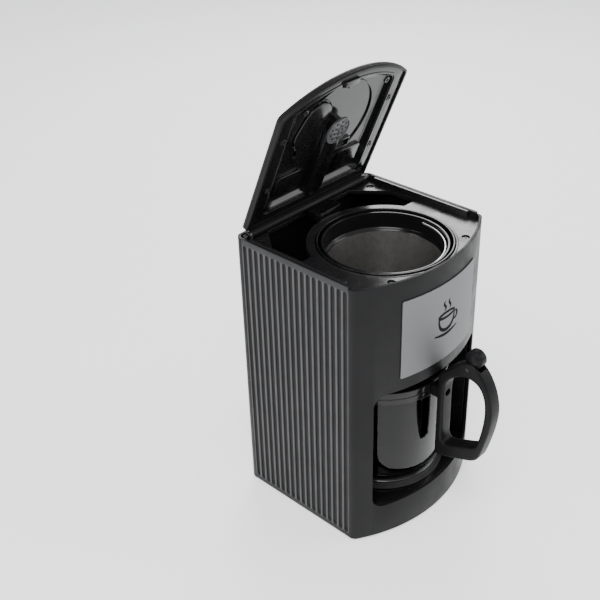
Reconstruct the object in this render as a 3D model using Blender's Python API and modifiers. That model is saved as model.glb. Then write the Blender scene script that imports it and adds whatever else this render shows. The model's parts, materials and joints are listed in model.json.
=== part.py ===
"""Drip coffee maker: a fluted body with a hinged lid, a cone filter basket with a permanent
mesh filter, a glass carafe on a warming plate, and the water and heating parts inside.

Lengths are in millimetres and are turned into metres where the geometry is made.
+Z is up, the front with the carafe handle faces -Y, and the origin lies on the surface the
machine stands on, under the middle of its box."""
import math
import bpy
import bmesh
from mathutils import Matrix, Vector

MM = 0.001
GAP = 0.3                      # clearance between pieces that touch

# ---- body plan ------------------------------------------------------------------------------
HALF_W = 90.0                  # half of the body's width
REAR_Y = 114.3                 # rear face
FRONT_Y = -54.3                # crown of the bowed front
BOW = 28.2                     # how far the front bows out over its width
CORNER_R = 8.0                 # upright corner radius
COVER_T = 2.8                  # front and rear cover thickness
PANEL_T = 3.4                  # side panel thickness
SIDE_Y = (-21.0, 105.0)        # side panels run between these
SKIRT_Z = 2.0                  # lower edge of the covers
BODY_TOP = 281.0               # top of the side panels and rear cover
FRONT_TOP = 279.0              # top of the front cover
FLUTES = 18
FLUTE_W = 4.8
FLUTE_DEPTH = 1.8
FLUTE_Z = (7.0, 275.5)

# ---- brewing axis, carafe bay and deck ------------------------------------------------------
BREW_Y = 14.3                  # the basket, the carafe and the warming plate share this axis
WINDOW_HALF_W = 73.5
WINDOW_Z = (36.0, 167.0)
WINDOW_R = 12.0
BAY_R = 66.0
BAY_T = 2.0
BAY_FLOOR_Z = (33.0, 35.5)
BAY_CEILING_Z = (170.0, 172.0)
DRIP_HOLE_R = 24.0
DECK_Z = (271.0, 275.0)
SEAT_R = 62.7
SEAT_WALL = 1.9
SEAT_LEDGE_Z = 250.4
TANK_Z = (48.0, 270.5)
TANK_T = 2.0
TANK_FRONT_Y = 30.0

# ---- lid ------------------------------------------------------------------------------------
LID_AXIS_Y = 107.5
LID_AXIS_Z = 279.2
LID_OPEN = math.radians(66.5)  # the lid stands open by this much at rest
LID_HALF_W = 80.5
LID_REAR_HALF_W = 76.2
LID_NOTCH_Y = 103.2            # the lid narrows here to pass between the hinge ears
LID_REAR_Y = 105.2
LID_Z = (281.3, 293.0)
LID_CROWN = ((0.0, 281.3), (0.0, 286.4), (0.7, 287.6), (1.9, 288.4), (16.0, 293.0))
LID_HOLLOW = ((2.4, 279.3), (2.4, 285.9), (16.5, 290.4))
LID_HOLLOW_REAR_Y = 103.4
LID_FRONT_Y = -47.5
LID_BOW = 24.0
LID_BARREL_R = 3.7
EAR_R = 3.6                    # hinge ears on the deck
EAR_X = (76.5, 80.5)
PIN_R = 2.05
PIN_HOLE_R = 2.15

# ---- basket, valve and permanent filter -----------------------------------------------------
BASKET_R = 62.0
BASKET_TOP = 276.4
BASKET_CONE_TOP = 254.5
BASKET_TIP_R = 16.2
BASKET_TIP_Z = 166.0
VALVE_BOTTOM = 153.8
FILTER_R = 57.5
FILTER_TOP = 274.6
FILTER_CONE_TOP = 257.5
FILTER_TIP_R = 17.0
FILTER_TIP_Z = 184.0
BAIL_R = 53.4
BAIL_Z = 271.0
BAIL_WIRE_R = 1.1

# ---- warming plate and carafe ---------------------------------------------------------------
PLATE_R = 56.0
PLATE_TOP = 42.5
GLASS_R = 60.5
GLASS_TOP = 150.0
BAND_R = 62.6
BAND_Z = (138.5, 151.8)
LEVER_PIN_Y = -86.0
LEVER_PIN_Z = 184.0
HANDLE_HALF_W = 7.5

# ---- switch and mains inlet -----------------------------------------------------------------
SWITCH_Y = 8.0
SWITCH_Z = 38.0
SWITCH_PIVOT_X = 84.0
SWITCH_TILT = math.radians(8.0)
GLAND_X = 60.0
GLAND_Z = 22.0

# ---- plumbing -------------------------------------------------------------------------------
PIPE_X = 16.0
PIPE_Y = 95.0
HEATER_Z = 34.5
HEATER_R = 38.0
TAIL_Z = 22.0

for old in list(bpy.data.objects):
    bpy.data.objects.remove(old, do_unlink=True)

PARTS = bpy.data.collections.new("drip_coffee_maker")
CUTTERS = bpy.data.collections.new("cutters")
bpy.context.scene.collection.children.link(PARTS)
bpy.context.scene.collection.children.link(CUTTERS)


def make_material(name, colour, roughness, metallic=0.0, alpha=1.0):
    """A plain Principled material."""
    material = bpy.data.materials.new(name)
    material.use_nodes = True
    shader = material.node_tree.nodes["Principled BSDF"]
    shader.inputs["Base Color"].default_value = (*colour, 1.0)
    shader.inputs["Roughness"].default_value = roughness
    shader.inputs["Metallic"].default_value = metallic
    shader.inputs["Alpha"].default_value = alpha
    material.diffuse_color = (*colour, alpha)
    return material


CHARCOAL = make_material("charcoal_plastic", (0.035, 0.035, 0.038), 0.45)
GLOSS_BLACK = make_material("gloss_black_plastic", (0.012, 0.012, 0.013), 0.18)
DARK_GREY = make_material("dark_grey_plastic", (0.05, 0.05, 0.052), 0.4)
BRUSHED = make_material("brushed_steel", (0.52, 0.53, 0.54), 0.32, 1.0)
ZINC = make_material("zinc_steel", (0.55, 0.55, 0.56), 0.35, 1.0)
ALUMINIUM = make_material("aluminium", (0.7, 0.71, 0.72), 0.4, 1.0)
BLACK_ENAMEL = make_material("black_enamel", (0.015, 0.015, 0.015), 0.35)
RUBBER = make_material("rubber", (0.02, 0.02, 0.02), 0.8)
SILICONE = make_material("white_silicone", (0.75, 0.74, 0.7), 0.5)
GLASS = make_material("smoked_glass", (0.2, 0.2, 0.2), 0.05, 0.0, 0.35)
FINE_MESH = make_material("fine_mesh", (0.62, 0.58, 0.53), 0.5)
SWITCH_RED = make_material("switch_red", (0.5, 0.03, 0.02), 0.25)


# ---- making and placing shapes --------------------------------------------------------------
def add_object(name, mesh, material, collection=PARTS):
    """Link a mesh as a named object; cutters are drawn as wires and never rendered."""
    obj = bpy.data.objects.new(name, mesh)
    collection.objects.link(obj)
    if material is not None:
        mesh.materials.append(material)
    if collection is CUTTERS:
        obj.hide_render = True
        obj.display_type = 'WIRE'
    return obj


def weld(mesh):
    """Join the loose caps of a meshed curve to its walls."""
    work = bmesh.new()
    work.from_mesh(mesh)
    bmesh.ops.remove_doubles(work, verts=work.verts, dist=0.00001)
    bmesh.ops.recalc_face_normals(work, faces=work.faces)
    work.to_mesh(mesh)
    work.free()


def curve_to_object(name, curve, matrix, material, collection):
    """Turn a curve into a mesh object with its transform applied."""
    holder = bpy.data.objects.new(name + "_curve", curve)
    bpy.context.scene.collection.objects.link(holder)
    bpy.context.view_layer.update()
    evaluated = holder.evaluated_get(bpy.context.evaluated_depsgraph_get())
    mesh = bpy.data.meshes.new_from_object(evaluated)
    bpy.data.objects.remove(holder, do_unlink=True)
    mesh.materials.clear()
    mesh.transform(matrix)
    weld(mesh)
    mesh.name = name
    return add_object(name, mesh, material, collection)


def plate(name, loops, low, high, material=None, collection=PARTS, axis='Z'):
    """A flat outline with any holes, extruded from low to high along an axis.
    Outline points are (x, y) for Z, (x, z) for Y and (y, z) for X."""
    curve = bpy.data.curves.new(name, 'CURVE')
    curve.dimensions = '2D'
    curve.fill_mode = 'BOTH'
    curve.extrude = abs(high - low) * MM / 2
    for loop in loops:
        spline = curve.splines.new('POLY')
        spline.points.add(len(loop) - 1)
        for point, (u, v) in zip(spline.points, loop):
            point.co = (u * MM, v * MM, 0.0, 1.0)
        spline.use_cyclic_u = True
    middle = (low + high) * MM / 2
    turns = {
        'Z': Matrix.Translation((0, 0, middle)),
        'Y': Matrix.Translation((0, middle, 0)) @ Matrix.Rotation(math.pi / 2, 4, 'X'),
        'X': Matrix.Translation((middle, 0, 0)) @ Matrix.Rotation(math.pi / 2, 4, 'Z')
             @ Matrix.Rotation(math.pi / 2, 4, 'X'),
    }
    return curve_to_object(name, curve, turns[axis], material, collection)


def turned(name, profile, centre, material=None, collection=PARTS, steps=36, axis='Z'):
    """A turned piece. The profile's (radius, height) points run down its outer side; a profile
    that doesn't touch the axis is closed into a ring."""
    mesh = bpy.data.meshes.new(name)
    points = [(radius * MM, 0.0, height * MM) for radius, height in profile]
    count = len(points)
    ring = profile[0][0] > 0 and profile[-1][0] > 0
    edges = [(i, (i + 1) % count) for i in range(count if ring else count - 1)]
    mesh.from_pydata(points, edges, [])
    obj = add_object(name, mesh, material, collection)
    screw = obj.modifiers.new("turn", 'SCREW')
    screw.steps = steps
    screw.render_steps = steps
    screw.use_merge_vertices = True
    screw.merge_threshold = 0.00001
    screw.use_smooth_shade = False
    obj.location = Vector(centre) * MM
    if axis == 'X':
        obj.rotation_euler = (0, math.pi / 2, 0)
    if axis == 'Y':
        obj.rotation_euler = (-math.pi / 2, 0, 0)
    return obj


def tube(name, points, radius, material, resolution):
    """A round bar along a list of points."""
    curve = bpy.data.curves.new(name, 'CURVE')
    curve.dimensions = '3D'
    curve.bevel_depth = radius * MM
    curve.bevel_resolution = resolution
    curve.use_fill_caps = True
    spline = curve.splines.new('POLY')
    spline.points.add(len(points) - 1)
    for point, place in zip(spline.points, points):
        point.co = (*(Vector(place) * MM), 1.0)
    return curve_to_object(name, curve, Matrix.Identity(4), material, PARTS)


def block(name, low, high, material=None):
    """A box between two corners."""
    mesh = bpy.data.meshes.new(name)
    work = bmesh.new()
    bmesh.ops.create_cube(work, size=1.0)
    size = [(b - a) * MM for a, b in zip(low, high)]
    centre = [(b + a) * MM / 2 for a, b in zip(low, high)]
    bmesh.ops.scale(work, vec=size, verts=work.verts)
    bmesh.ops.translate(work, vec=centre, verts=work.verts)
    work.to_mesh(mesh)
    work.free()
    return add_object(name, mesh, material)


def loft(name, sections, material):
    """A closed solid through level outlines that have the same number of points."""
    mesh = bpy.data.meshes.new(name)
    work = bmesh.new()
    rings = []
    for outline, z in sections:
        rings.append([work.verts.new((x * MM, y * MM, z * MM)) for x, y in outline])
    for low, high in zip(rings, rings[1:]):
        for i, vert in enumerate(low):
            j = (i + 1) % len(low)
            work.faces.new((vert, low[j], high[j], high[i]))
    work.faces.new(rings[0][::-1])
    work.faces.new(rings[-1])
    bmesh.ops.recalc_face_normals(work, faces=work.faces)
    work.to_mesh(mesh)
    work.free()
    return add_object(name, mesh, material)


def boolean(obj, tool, operation='DIFFERENCE'):
    """Cut, join or intersect with a tool object, which goes with the cutters."""
    if tool.name not in CUTTERS.objects:
        CUTTERS.objects.link(tool)
        PARTS.objects.unlink(tool)
        tool.hide_render = True
        tool.display_type = 'WIRE'
    step = obj.modifiers.new(operation.lower(), 'BOOLEAN')
    step.operation = operation
    step.solver = 'EXACT'
    step.object = tool


def soften(obj, width, segments=1, angle=50.0):
    """Round the sharp edges a little."""
    bevel = obj.modifiers.new("edges", 'BEVEL')
    bevel.width = width * MM
    bevel.segments = segments
    bevel.limit_method = 'ANGLE'
    bevel.angle_limit = math.radians(angle)
    bevel.use_clamp_overlap = True
    bevel.loop_slide = False


def smooth(obj, angle=35.0):
    """Shade round faces smooth and keep real edges sharp."""
    obj.data.shade_smooth()
    obj.data.set_sharp_from_angle(angle=math.radians(angle))
    screws = [m for m in obj.modifiers if m.type == 'SCREW']
    for screw in screws:
        screw.use_smooth_shade = True


def pivot_at(name, place, children):
    """Parent pieces, with their Boolean tools, to an empty on their joint's axis."""
    empty = bpy.data.objects.new(name, None)
    PARTS.objects.link(empty)
    empty.location = Vector(place) * MM
    bpy.context.view_layer.update()
    tools = [step.object for child in children for step in child.modifiers if step.type == 'BOOLEAN']
    for child in list(children) + tools:
        child.parent = empty
        child.matrix_parent_inverse = Matrix.Translation(-Vector(place) * MM)
    return empty


# ---- outlines -------------------------------------------------------------------------------
def arc(cx, cy, radius, start, end, steps):
    """Points along a circle, angles in degrees, both ends included."""
    out = []
    for i in range(steps + 1):
        angle = math.radians(start + (end - start) * i / steps)
        out.append((cx + radius * math.cos(angle), cy + radius * math.sin(angle)))
    return out


def circle(cx, cy, radius, steps=28):
    return arc(cx, cy, radius, 0, 360, steps)[:-1]


def rounded_rect(cu, cv, half_u, half_v, radius, steps=4):
    """A rectangle with round corners, anticlockwise."""
    out = []
    for k, (su, sv) in enumerate(((1, 1), (-1, 1), (-1, -1), (1, -1))):
        centre_u = cu + su * (half_u - radius)
        centre_v = cv + sv * (half_v - radius)
        out += arc(centre_u, centre_v, radius, 90 * k, 90 * k + 90, steps)
    return out


def capsule(start, end, radius, steps=6):
    """A straight slot outline between two end centres."""
    angle = math.degrees(math.atan2(end[1] - start[1], end[0] - start[0]))
    first = arc(*start, radius, angle + 90, angle + 270, steps)
    return first + arc(*end, radius, angle - 90, angle + 90, steps)


def arc_slot(cx, cy, radius, half_width, start, end, steps=5):
    """A curved slot that follows a circle."""
    outer = arc(cx, cy, radius + half_width, start, end, steps)
    inner = arc(cx, cy, radius - half_width, end, start, steps)
    return outer + inner


def bowed_front(half_w, front_y, bow, corner, inset, steps=22, corner_steps=4):
    """The bowed front of the plan from its left side to its right, moved inwards by inset."""
    radius = (half_w ** 2 + bow ** 2) / (2 * bow)
    centre_y = front_y + radius
    cx = half_w - corner
    cy = centre_y - math.sqrt((radius - corner) ** 2 - cx ** 2)
    turn = math.degrees(math.atan2(cy - centre_y, -cx)) % 360
    left = arc(-cx, cy, corner - inset, 180, turn, corner_steps)
    middle = arc(0, centre_y, radius - inset, turn, 540 - turn, steps)[1:-1]
    right = [(-x, y) for x, y in reversed(left)]
    return left + middle + right


def front_path(inset):
    return bowed_front(HALF_W, FRONT_Y, BOW, CORNER_R, inset)


def rear_path(inset):
    """The square rear of the plan from its right side to its left, moved inwards by inset."""
    right = arc(HALF_W - CORNER_R, REAR_Y - CORNER_R, CORNER_R - inset, 0, 90, 5)
    return right + [(-x, y) for x, y in reversed(right)]


def inner_plan(inset):
    """The room inside the covers: the front and rear follow the covers, and the sides follow
    the thicker side panels."""
    side = HALF_W - PANEL_T - GAP
    points = front_path(COVER_T + inset) + rear_path(COVER_T + inset)
    return [(max(-side, min(side, x)), y) for x, y in points]


def bay_path(radius, front_half_w, front_y):
    """The carafe bay's wall from its left front, round the back, to its right front."""
    distance = math.hypot(front_half_w, front_y - BREW_Y)
    heading = math.degrees(math.atan2(front_y - BREW_Y, -front_half_w)) % 360
    tangent = heading - math.degrees(math.acos(radius / distance))
    curve = arc(0, BREW_Y, radius, tangent, 180 - tangent, 24)
    return [(-front_half_w, front_y)] + curve + [(front_half_w, front_y)]


# ---- body -----------------------------------------------------------------------------------
def side_panel(name, side):
    """A side panel with upright flutes between narrow ribs."""
    inner = HALF_W - PANEL_T
    low = (min(side * inner, side * HALF_W), SIDE_Y[0], SKIRT_Z)
    high = (max(side * inner, side * HALF_W), SIDE_Y[1], BODY_TOP)
    panel = block(name, low, high, CHARCOAL)
    pitch = (SIDE_Y[1] - SIDE_Y[0]) / FLUTES
    loops = []
    for i in range(FLUTES):
        y = SIDE_Y[0] + (i + 0.5) * pitch
        radius = FLUTE_W / 2
        loops.append(capsule((y, FLUTE_Z[0] + radius), (y, FLUTE_Z[1] - radius), radius, 4))
    edge = side * (HALF_W - FLUTE_DEPTH)
    outside = side * (HALF_W + 1)
    cutter = plate(name + "_flutes", loops, min(edge, outside), max(edge, outside),
                   None, CUTTERS, 'X')
    boolean(panel, cutter)
    return panel


def bowed_cover():
    """The bowed front with the window in front of the carafe."""
    back_y = SIDE_Y[0] - GAP
    outer = [(-HALF_W, back_y)] + front_path(0) + [(HALF_W, back_y)]
    inner = front_path(COVER_T)
    inner = [(-HALF_W + COVER_T, back_y)] + inner + [(HALF_W - COVER_T, back_y)]
    cover = plate("front_cover", [outer + inner[::-1]], SKIRT_Z, FRONT_TOP, CHARCOAL)
    middle_z = sum(WINDOW_Z) / 2
    half_z = (WINDOW_Z[1] - WINDOW_Z[0]) / 2
    window = plate("window_cutter", [rounded_rect(0, middle_z, WINDOW_HALF_W, half_z, WINDOW_R)],
                   FRONT_Y - 10, BREW_Y - 30, None, CUTTERS, 'Y')
    boolean(cover, window)
    soften(cover, 0.8)
    smooth(cover)
    return cover


def rear_cover():
    """The rear cover with rows of air slots and the hole for the cord gland."""
    start_y = SIDE_Y[1] + GAP
    outer = [(HALF_W, start_y)] + rear_path(0) + [(-HALF_W, start_y)]
    inner = [(HALF_W - COVER_T, start_y)] + rear_path(COVER_T) + [(-HALF_W + COVER_T, start_y)]
    cover = plate("rear_cover", [outer + inner[::-1]], SKIRT_Z, BODY_TOP, CHARCOAL)
    slots = []
    for i in range(9):
        x = -48 + 9 * i
        slots.append(capsule((x, 14), (x, 30), 1.6, 3))
    slots.append(circle(GLAND_X, GLAND_Z, 7.3, 24))
    cutter = plate("rear_slots_cutter", slots, REAR_Y - 6, REAR_Y + 2, None, CUTTERS, 'Y')
    boolean(cover, cutter)
    smooth(cover)
    return cover


FEET = ((-66, -14), (66, -14), (-66, 92), (66, 92))
BASE_SCREWS = ((-74, 8), (74, 8), (-40, 102), (40, 102))
DECK_SCREWS = ((-52, -35.5), (52, -35.5), (-75.5, 96), (75.5, 96))


def base_plate():
    """The base plate with holes for the feet, the screws and cooling air."""
    holes = [circle(x, y, 4.3, 12) for x, y in FEET]
    holes += [circle(x, y, 1.9, 8) for x, y in BASE_SCREWS]
    for i in range(7):
        x = -36 + 12 * i
        holes.append(capsule((x, 0), (x, 32), 1.8, 3))
    return plate("base_plate", [inner_plan(GAP)] + holes, 3.5, 6.0, DARK_GREY)


def rubber_foot(index, x, y):
    profile = [(0, 8.2), (5.0, 8.2), (5.0, 6.3), (4.0, 6.3), (4.0, 3.2), (9.0, 3.2),
               (9.0, 0.8), (8.2, 0), (0, 0)]
    foot = turned(f"rubber_foot_{index}", profile, (x, y, 0), RUBBER, steps=16)
    smooth(foot)


def screw(name, x, y, head_low, head_r, shank_r, length, up, material=ZINC):
    """A pan-head screw; up is +1 when its shank points up, -1 when it points down."""
    head = 1.6
    if up < 0:
        profile = [(0, head), (head_r * 0.7, head), (head_r, head * 0.5), (head_r, 0),
                   (shank_r, 0), (shank_r, -length), (0, -length - 1)]
    else:
        profile = [(0, length + 1), (shank_r, length), (shank_r, 0), (head_r, 0),
                   (head_r, -head * 0.5), (head_r * 0.7, -head), (0, -head)]
    piece = turned(name, profile, (x, y, head_low), material, steps=10)
    smooth(piece)


def top_deck():
    """The top moulding: the deck with the tank mouth, side rails and hinge ears, and the round
    seat with its cone, which carries the filter basket."""
    seat = circle(0, BREW_Y, SEAT_R + SEAT_WALL / 2, 36)
    mouth_r = BAY_R + 4.6
    half = 81.0
    front = 44.0
    start = math.degrees(math.atan2(front - BREW_Y, -math.sqrt(mouth_r ** 2 - (front - BREW_Y) ** 2)))
    mouth = [(-half, front)] + arc(0, BREW_Y, mouth_r, start, 180 - start, 16)
    mouth += [(half, front), (half, 74), (56, 106), (-56, 106), (-half, 74)]
    deck = plate("top_deck", [inner_plan(GAP), seat, mouth], *DECK_Z, CHARCOAL)
    tip_low = BAY_CEILING_Z[1] + GAP
    tip_r = DRIP_HOLE_R - 1.5
    outer = SEAT_R + SEAT_WALL
    ledge = 60.05
    lip = DECK_Z[1] + 0.4
    profile = [(outer, lip), (outer, 249.5), (outer - 1.6, 247), (tip_r + 2, tip_low),
               (tip_r, tip_low), (ledge + 0.5, 247.6), (ledge, SEAT_LEDGE_Z - 1),
               (ledge, SEAT_LEDGE_Z), (SEAT_R, SEAT_LEDGE_Z), (SEAT_R, lip)]
    well = turned("seat_well_tool", profile, (0, BREW_Y, 0), None, steps=40)
    boolean(deck, well, 'UNION')
    side = HALF_W - PANEL_T - GAP - 0.15
    for sign in (-1, 1):
        low_x = min(sign * side, sign * (side - 3))
        rail = block(f"rail_tool_{sign + 1}", (low_x, -14, DECK_Z[0] + 1),
                     (low_x + 3, 98, BODY_TOP))
        boolean(deck, rail, 'UNION')
        ear_outline = [(LID_AXIS_Y - EAR_R, DECK_Z[0] + 0.6), (LID_AXIS_Y + EAR_R, DECK_Z[0] + 0.6)]
        ear_outline += arc(LID_AXIS_Y, LID_AXIS_Z, EAR_R, 0, 180, 8)
        low_x, high_x = sorted((sign * EAR_X[0], sign * EAR_X[1]))
        hole = circle(LID_AXIS_Y, LID_AXIS_Z, PIN_HOLE_R, 16)
        ear = plate(f"ear_tool_{sign + 1}", [ear_outline, hole], low_x, high_x, None, PARTS, 'X')
        boolean(deck, ear, 'UNION')
    for i, (x, y) in enumerate(DECK_SCREWS):
        step = [(3.7, DECK_Z[1] + 1), (3.7, DECK_Z[0] + 1), (1.7, DECK_Z[0] + 1),
                (1.7, DECK_Z[0] - 1), (0, DECK_Z[0] - 1)]
        cutter = turned(f"deck_screw_hole_{i}", [(0, DECK_Z[1] + 1)] + step, (x, y, 0),
                        None, CUTTERS, 10)
        boolean(deck, cutter)
    smooth(deck)
    return deck


def carafe_bay():
    """The bay around the carafe: its wall, its floor round the warming plate, its ceiling."""
    front_y = -30.8
    inner = bay_path(BAY_R, 74.0, front_y)
    outer = bay_path(BAY_R + BAY_T, 76.0, front_y)
    wall = plate("bay_liner", [inner + outer[::-1]], BAY_FLOOR_Z[1] + GAP,
                 BAY_CEILING_Z[0] - GAP, GLOSS_BLACK)
    smooth(wall)
    edge = [(x, y) for x, y in front_path(COVER_T + GAP) if abs(x) < 75.5]
    back = bay_path(BAY_R + BAY_T, 76.0, front_y)
    outline = back + edge[::-1]
    floor = plate("bay_floor", [outline, circle(0, BREW_Y, 58, 36)], *BAY_FLOOR_Z, GLOSS_BLACK)
    smooth(floor)
    ceiling = plate("bay_ceiling", [outline, circle(0, BREW_Y, DRIP_HOLE_R, 24)],
                    *BAY_CEILING_Z, GLOSS_BLACK)
    smooth(ceiling)


def tank_plan(inset):
    """The tank wraps round the back of the carafe bay."""
    side = HALF_W - PANEL_T - 0.7 - inset
    front = TANK_FRONT_Y + inset
    rear = REAR_Y - COVER_T - 0.7 - inset
    radius = BAY_R + BAY_T + 0.6 + inset
    start = 180 - math.degrees(math.asin((front - BREW_Y) / radius))
    corner = 6.0 - inset
    left = arc(-side + corner, rear - corner, corner, 90, 180, 4)
    right = arc(side - corner, rear - corner, corner, 0, 90, 4)
    return left + [(-side, front)] + arc(0, BREW_Y, radius, start, 180 - start, 20) \
        + [(side, front)] + right


def water_tank():
    tank = plate("water_tank", [tank_plan(0)], *TANK_Z, GLOSS_BLACK)
    hollow = plate("tank_hollow", [tank_plan(TANK_T)], TANK_Z[0] + TANK_T, TANK_Z[1] + 5,
                   None, CUTTERS)
    boolean(tank, hollow)
    ports = plate("tank_ports", [circle(-PIPE_X, PIPE_Y, 5.2, 20), circle(PIPE_X, PIPE_Y, 5.4, 20)],
                  TANK_Z[0] - 2, TANK_Z[0] + 4, None, CUTTERS)
    boolean(tank, ports)
    smooth(tank)


def badge_plate():
    """A thin steel plate that follows the bow of the front above the window."""
    low_z, high_z = 180.0, 259.0
    half = 51.0
    radius = (HALF_W ** 2 + BOW ** 2) / (2 * BOW)
    centre_y = FRONT_Y + radius
    spread = math.degrees(math.asin((half + 3) / radius))
    outer = arc(0, centre_y, radius + 1.1, 270 - spread, 270 + spread, 24)
    inner = arc(0, centre_y, radius + GAP, 270 - spread, 270 + spread, 24)
    badge = plate("steel_badge", [outer + inner[::-1]], low_z - 2, high_z + 2, BRUSHED)
    trim = plate("badge_trim", [rounded_rect(0, (low_z + high_z) / 2, half,
                                             (high_z - low_z) / 2, 2.5, 4)],
                 FRONT_Y - 10, BREW_Y - 40, None, CUTTERS, 'Y')
    boolean(badge, trim, 'INTERSECT')
    smooth(badge)


# ---- lid ------------------------------------------------------------------------------------
def lid_front(side, front, corner):
    """The lid's bowed front edge, moved inwards from its sides and its front."""
    half = LID_HALF_W - side
    bow = LID_BOW * (half / LID_HALF_W) ** 2
    return bowed_front(half, LID_FRONT_Y + front, bow, corner, 0, 18, 3)


def lid_plan(inset, rear):
    """The lid's outline moved inwards from a rear edge, narrower between the hinge ears."""
    wide = LID_HALF_W - inset
    narrow = LID_REAR_HALF_W - inset
    notch_y = LID_NOTCH_Y - inset
    right = [(wide, notch_y), (narrow, notch_y), (narrow, rear - inset)]
    return lid_front(inset, inset, 7.0) + right + [(-x, y) for x, y in reversed(right)]


def pan_plan(side, front, rear):
    """The outline of the shallow pan in the lid's inner plate."""
    corner = 9.0
    right = arc(LID_HALF_W - side - corner, rear - corner, corner, 0, 90, 4)
    return lid_front(side, front, corner) + right + [(-x, y) for x, y in reversed(right)]


STEAM_SLOTS = ((264, 288), (150, 174))


def slot_loops():
    return [arc_slot(0, BREW_Y, 44.5, 2.0, start, end) for start, end in STEAM_SLOTS]


def slot_cutter(name):
    return plate(name, slot_loops(), LID_Z[0] - 6, LID_Z[1] + 3, None, CUTTERS)


def lid_shell():
    """The outer lid: a shallow domed tray with a round barrel at the rear for the hinge pins."""
    shell = loft("lid_shell", [(lid_plan(inset, LID_REAR_Y), z) for inset, z in LID_CROWN], CHARCOAL)
    end = LID_REAR_HALF_W - 0.2
    barrel = turned("lid_barrel_tool", [(0, end), (LID_BARREL_R, end), (LID_BARREL_R, -end), (0, -end)],
                    (0, LID_AXIS_Y, LID_AXIS_Z), None, steps=24, axis='X')
    boolean(shell, barrel, 'UNION')
    sections = [(lid_plan(inset, LID_HOLLOW_REAR_Y), z) for inset, z in LID_HOLLOW]
    boolean(shell, loft("lid_hollow", sections, None))
    boolean(shell, slot_cutter("lid_shell_slots"))
    for name, sign in (("left", -1), ("right", 1)):
        ends = sorted((sign * 69.0, sign * 95.0))
        bore = turned(f"lid_pin_bore_{name}", [(0, ends[1]), (PIN_HOLE_R, ends[1]),
                                               (PIN_HOLE_R, ends[0]), (0, ends[0])],
                      (0, LID_AXIS_Y, LID_AXIS_Z), None, CUTTERS, 16, 'X')
        boolean(shell, bore)
    smooth(shell)
    return shell


def lid_inner_plate():
    """The plate inside the lid: a pan with the water channel, steam ring, oval, pads and catch."""
    low, high = 282.4, 284.0
    pan_floor, pan_top = 286.8, 288.4
    rear = 100.3
    half = LID_HALF_W - 2.7
    outline = lid_front(2.7, 2.7, 7.0) + [(half, rear), (-half, rear)]
    inner = plate("lid_inner_plate", [outline], low, high, GLOSS_BLACK)
    pan = [(pan_plan(17.0, 8.5, 88.0), 282.8), (pan_plan(21.0, 12.0, 85.0), pan_top)]
    boolean(inner, loft("pan_tool", pan, None), 'UNION')
    hollow = [(pan_plan(18.8, 10.3, 86.3), low - 0.5), (pan_plan(22.6, 13.6, 83.4), pan_floor)]
    boolean(inner, loft("pan_hollow", hollow, None))
    shapes = {
        "channel_tool": ([capsule((0, 85), (0, BREW_Y), 10.5)], 280.4, pan_floor + 0.4),
        "ring_tool": ([circle(0, BREW_Y, 48.6, 36), circle(0, BREW_Y, 47.2, 36)], 285.4, pan_top - 0.6),
        "oval_tool": ([capsule((-29, -5), (-34, 9), 17.0)], 283.4, pan_top - 0.6),
        "left_pad_tool": ([rounded_rect(-40, 66, 15, 12, 4, 3)], 284.2, pan_top - 0.6),
        "right_pad_tool": ([rounded_rect(40, 66, 15, 12, 4, 3)], 284.2, pan_top - 0.6),
        "catch_tool": ([rounded_rect(-3, -38.6, 9, 3.0, 1.0, 2)], 278.6, 285.2),
    }
    for name, (loops, bottom, top) in shapes.items():
        boolean(inner, plate(name, loops, bottom, top), 'UNION')
    boolean(inner, slot_cutter("lid_inner_slots"))
    port = turned("channel_inlet_cutter", [(0, 282.6), (4.5, 282.6), (4.5, 278), (0, 278)],
                  (0, 90, 0), None, CUTTERS, 20)
    boolean(inner, port)
    smooth(inner)
    return inner


def shower_head():
    """The perforated disc that spreads the hot water over the filter."""
    holes = [circle(0, BREW_Y, 1.1, 6)]
    for ring_r, count in ((5.0, 5), (9.5, 9)):
        for i in range(count):
            angle = 2 * math.pi * i / count
            holes.append(circle(ring_r * math.cos(angle), BREW_Y + ring_r * math.sin(angle), 1.1, 6))
    head = plate("shower_head", [circle(0, BREW_Y, 14.0, 32)] + holes, 278.2, 280.1, DARK_GREY)
    smooth(head)
    return head


def hinge_pins():
    for name, sign in (("lid_hinge_pin_left", -1), ("lid_hinge_pin_right", 1)):
        ends = sorted((sign * 70.0, sign * 85.0))
        pin = turned(name, [(0, ends[1]), (PIN_R, ends[1]), (PIN_R, ends[0]), (0, ends[0])],
                     (0, LID_AXIS_Y, LID_AXIS_Z), ZINC, steps=16, axis='X')
        smooth(pin)


# ---- brewing parts --------------------------------------------------------------------------
def basket_radius(z):
    """Outer radius of the basket's cone at a height."""
    slope = (BASKET_R - BASKET_TIP_R) / (BASKET_CONE_TOP - BASKET_TIP_Z)
    return BASKET_R - (BASKET_CONE_TOP - z) * slope


def filter_basket():
    """The cone-shaped filter basket with its rim band, grip tab and drip hole."""
    wall = 1.9
    floor = BASKET_TIP_Z + 2.0
    profile = [(BASKET_R, BASKET_TOP), (BASKET_R, BASKET_CONE_TOP), (BASKET_TIP_R, BASKET_TIP_Z),
               (5.2, BASKET_TIP_Z), (5.2, floor), (basket_radius(floor) - wall - 0.6, floor),
               (BASKET_R - wall, BASKET_CONE_TOP + 0.8), (BASKET_R - wall, BASKET_TOP)]
    basket = turned("filter_basket", profile, (0, BREW_Y, 0), GLOSS_BLACK, steps=40)
    tab = block("basket_tab_tool", (1.5, BREW_Y - 64.1, BASKET_TOP - 0.65),
                (9.5, BREW_Y - 60.6, BASKET_TOP + 1.3))
    boolean(basket, tab, 'UNION')
    smooth(basket)
    return basket


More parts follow.
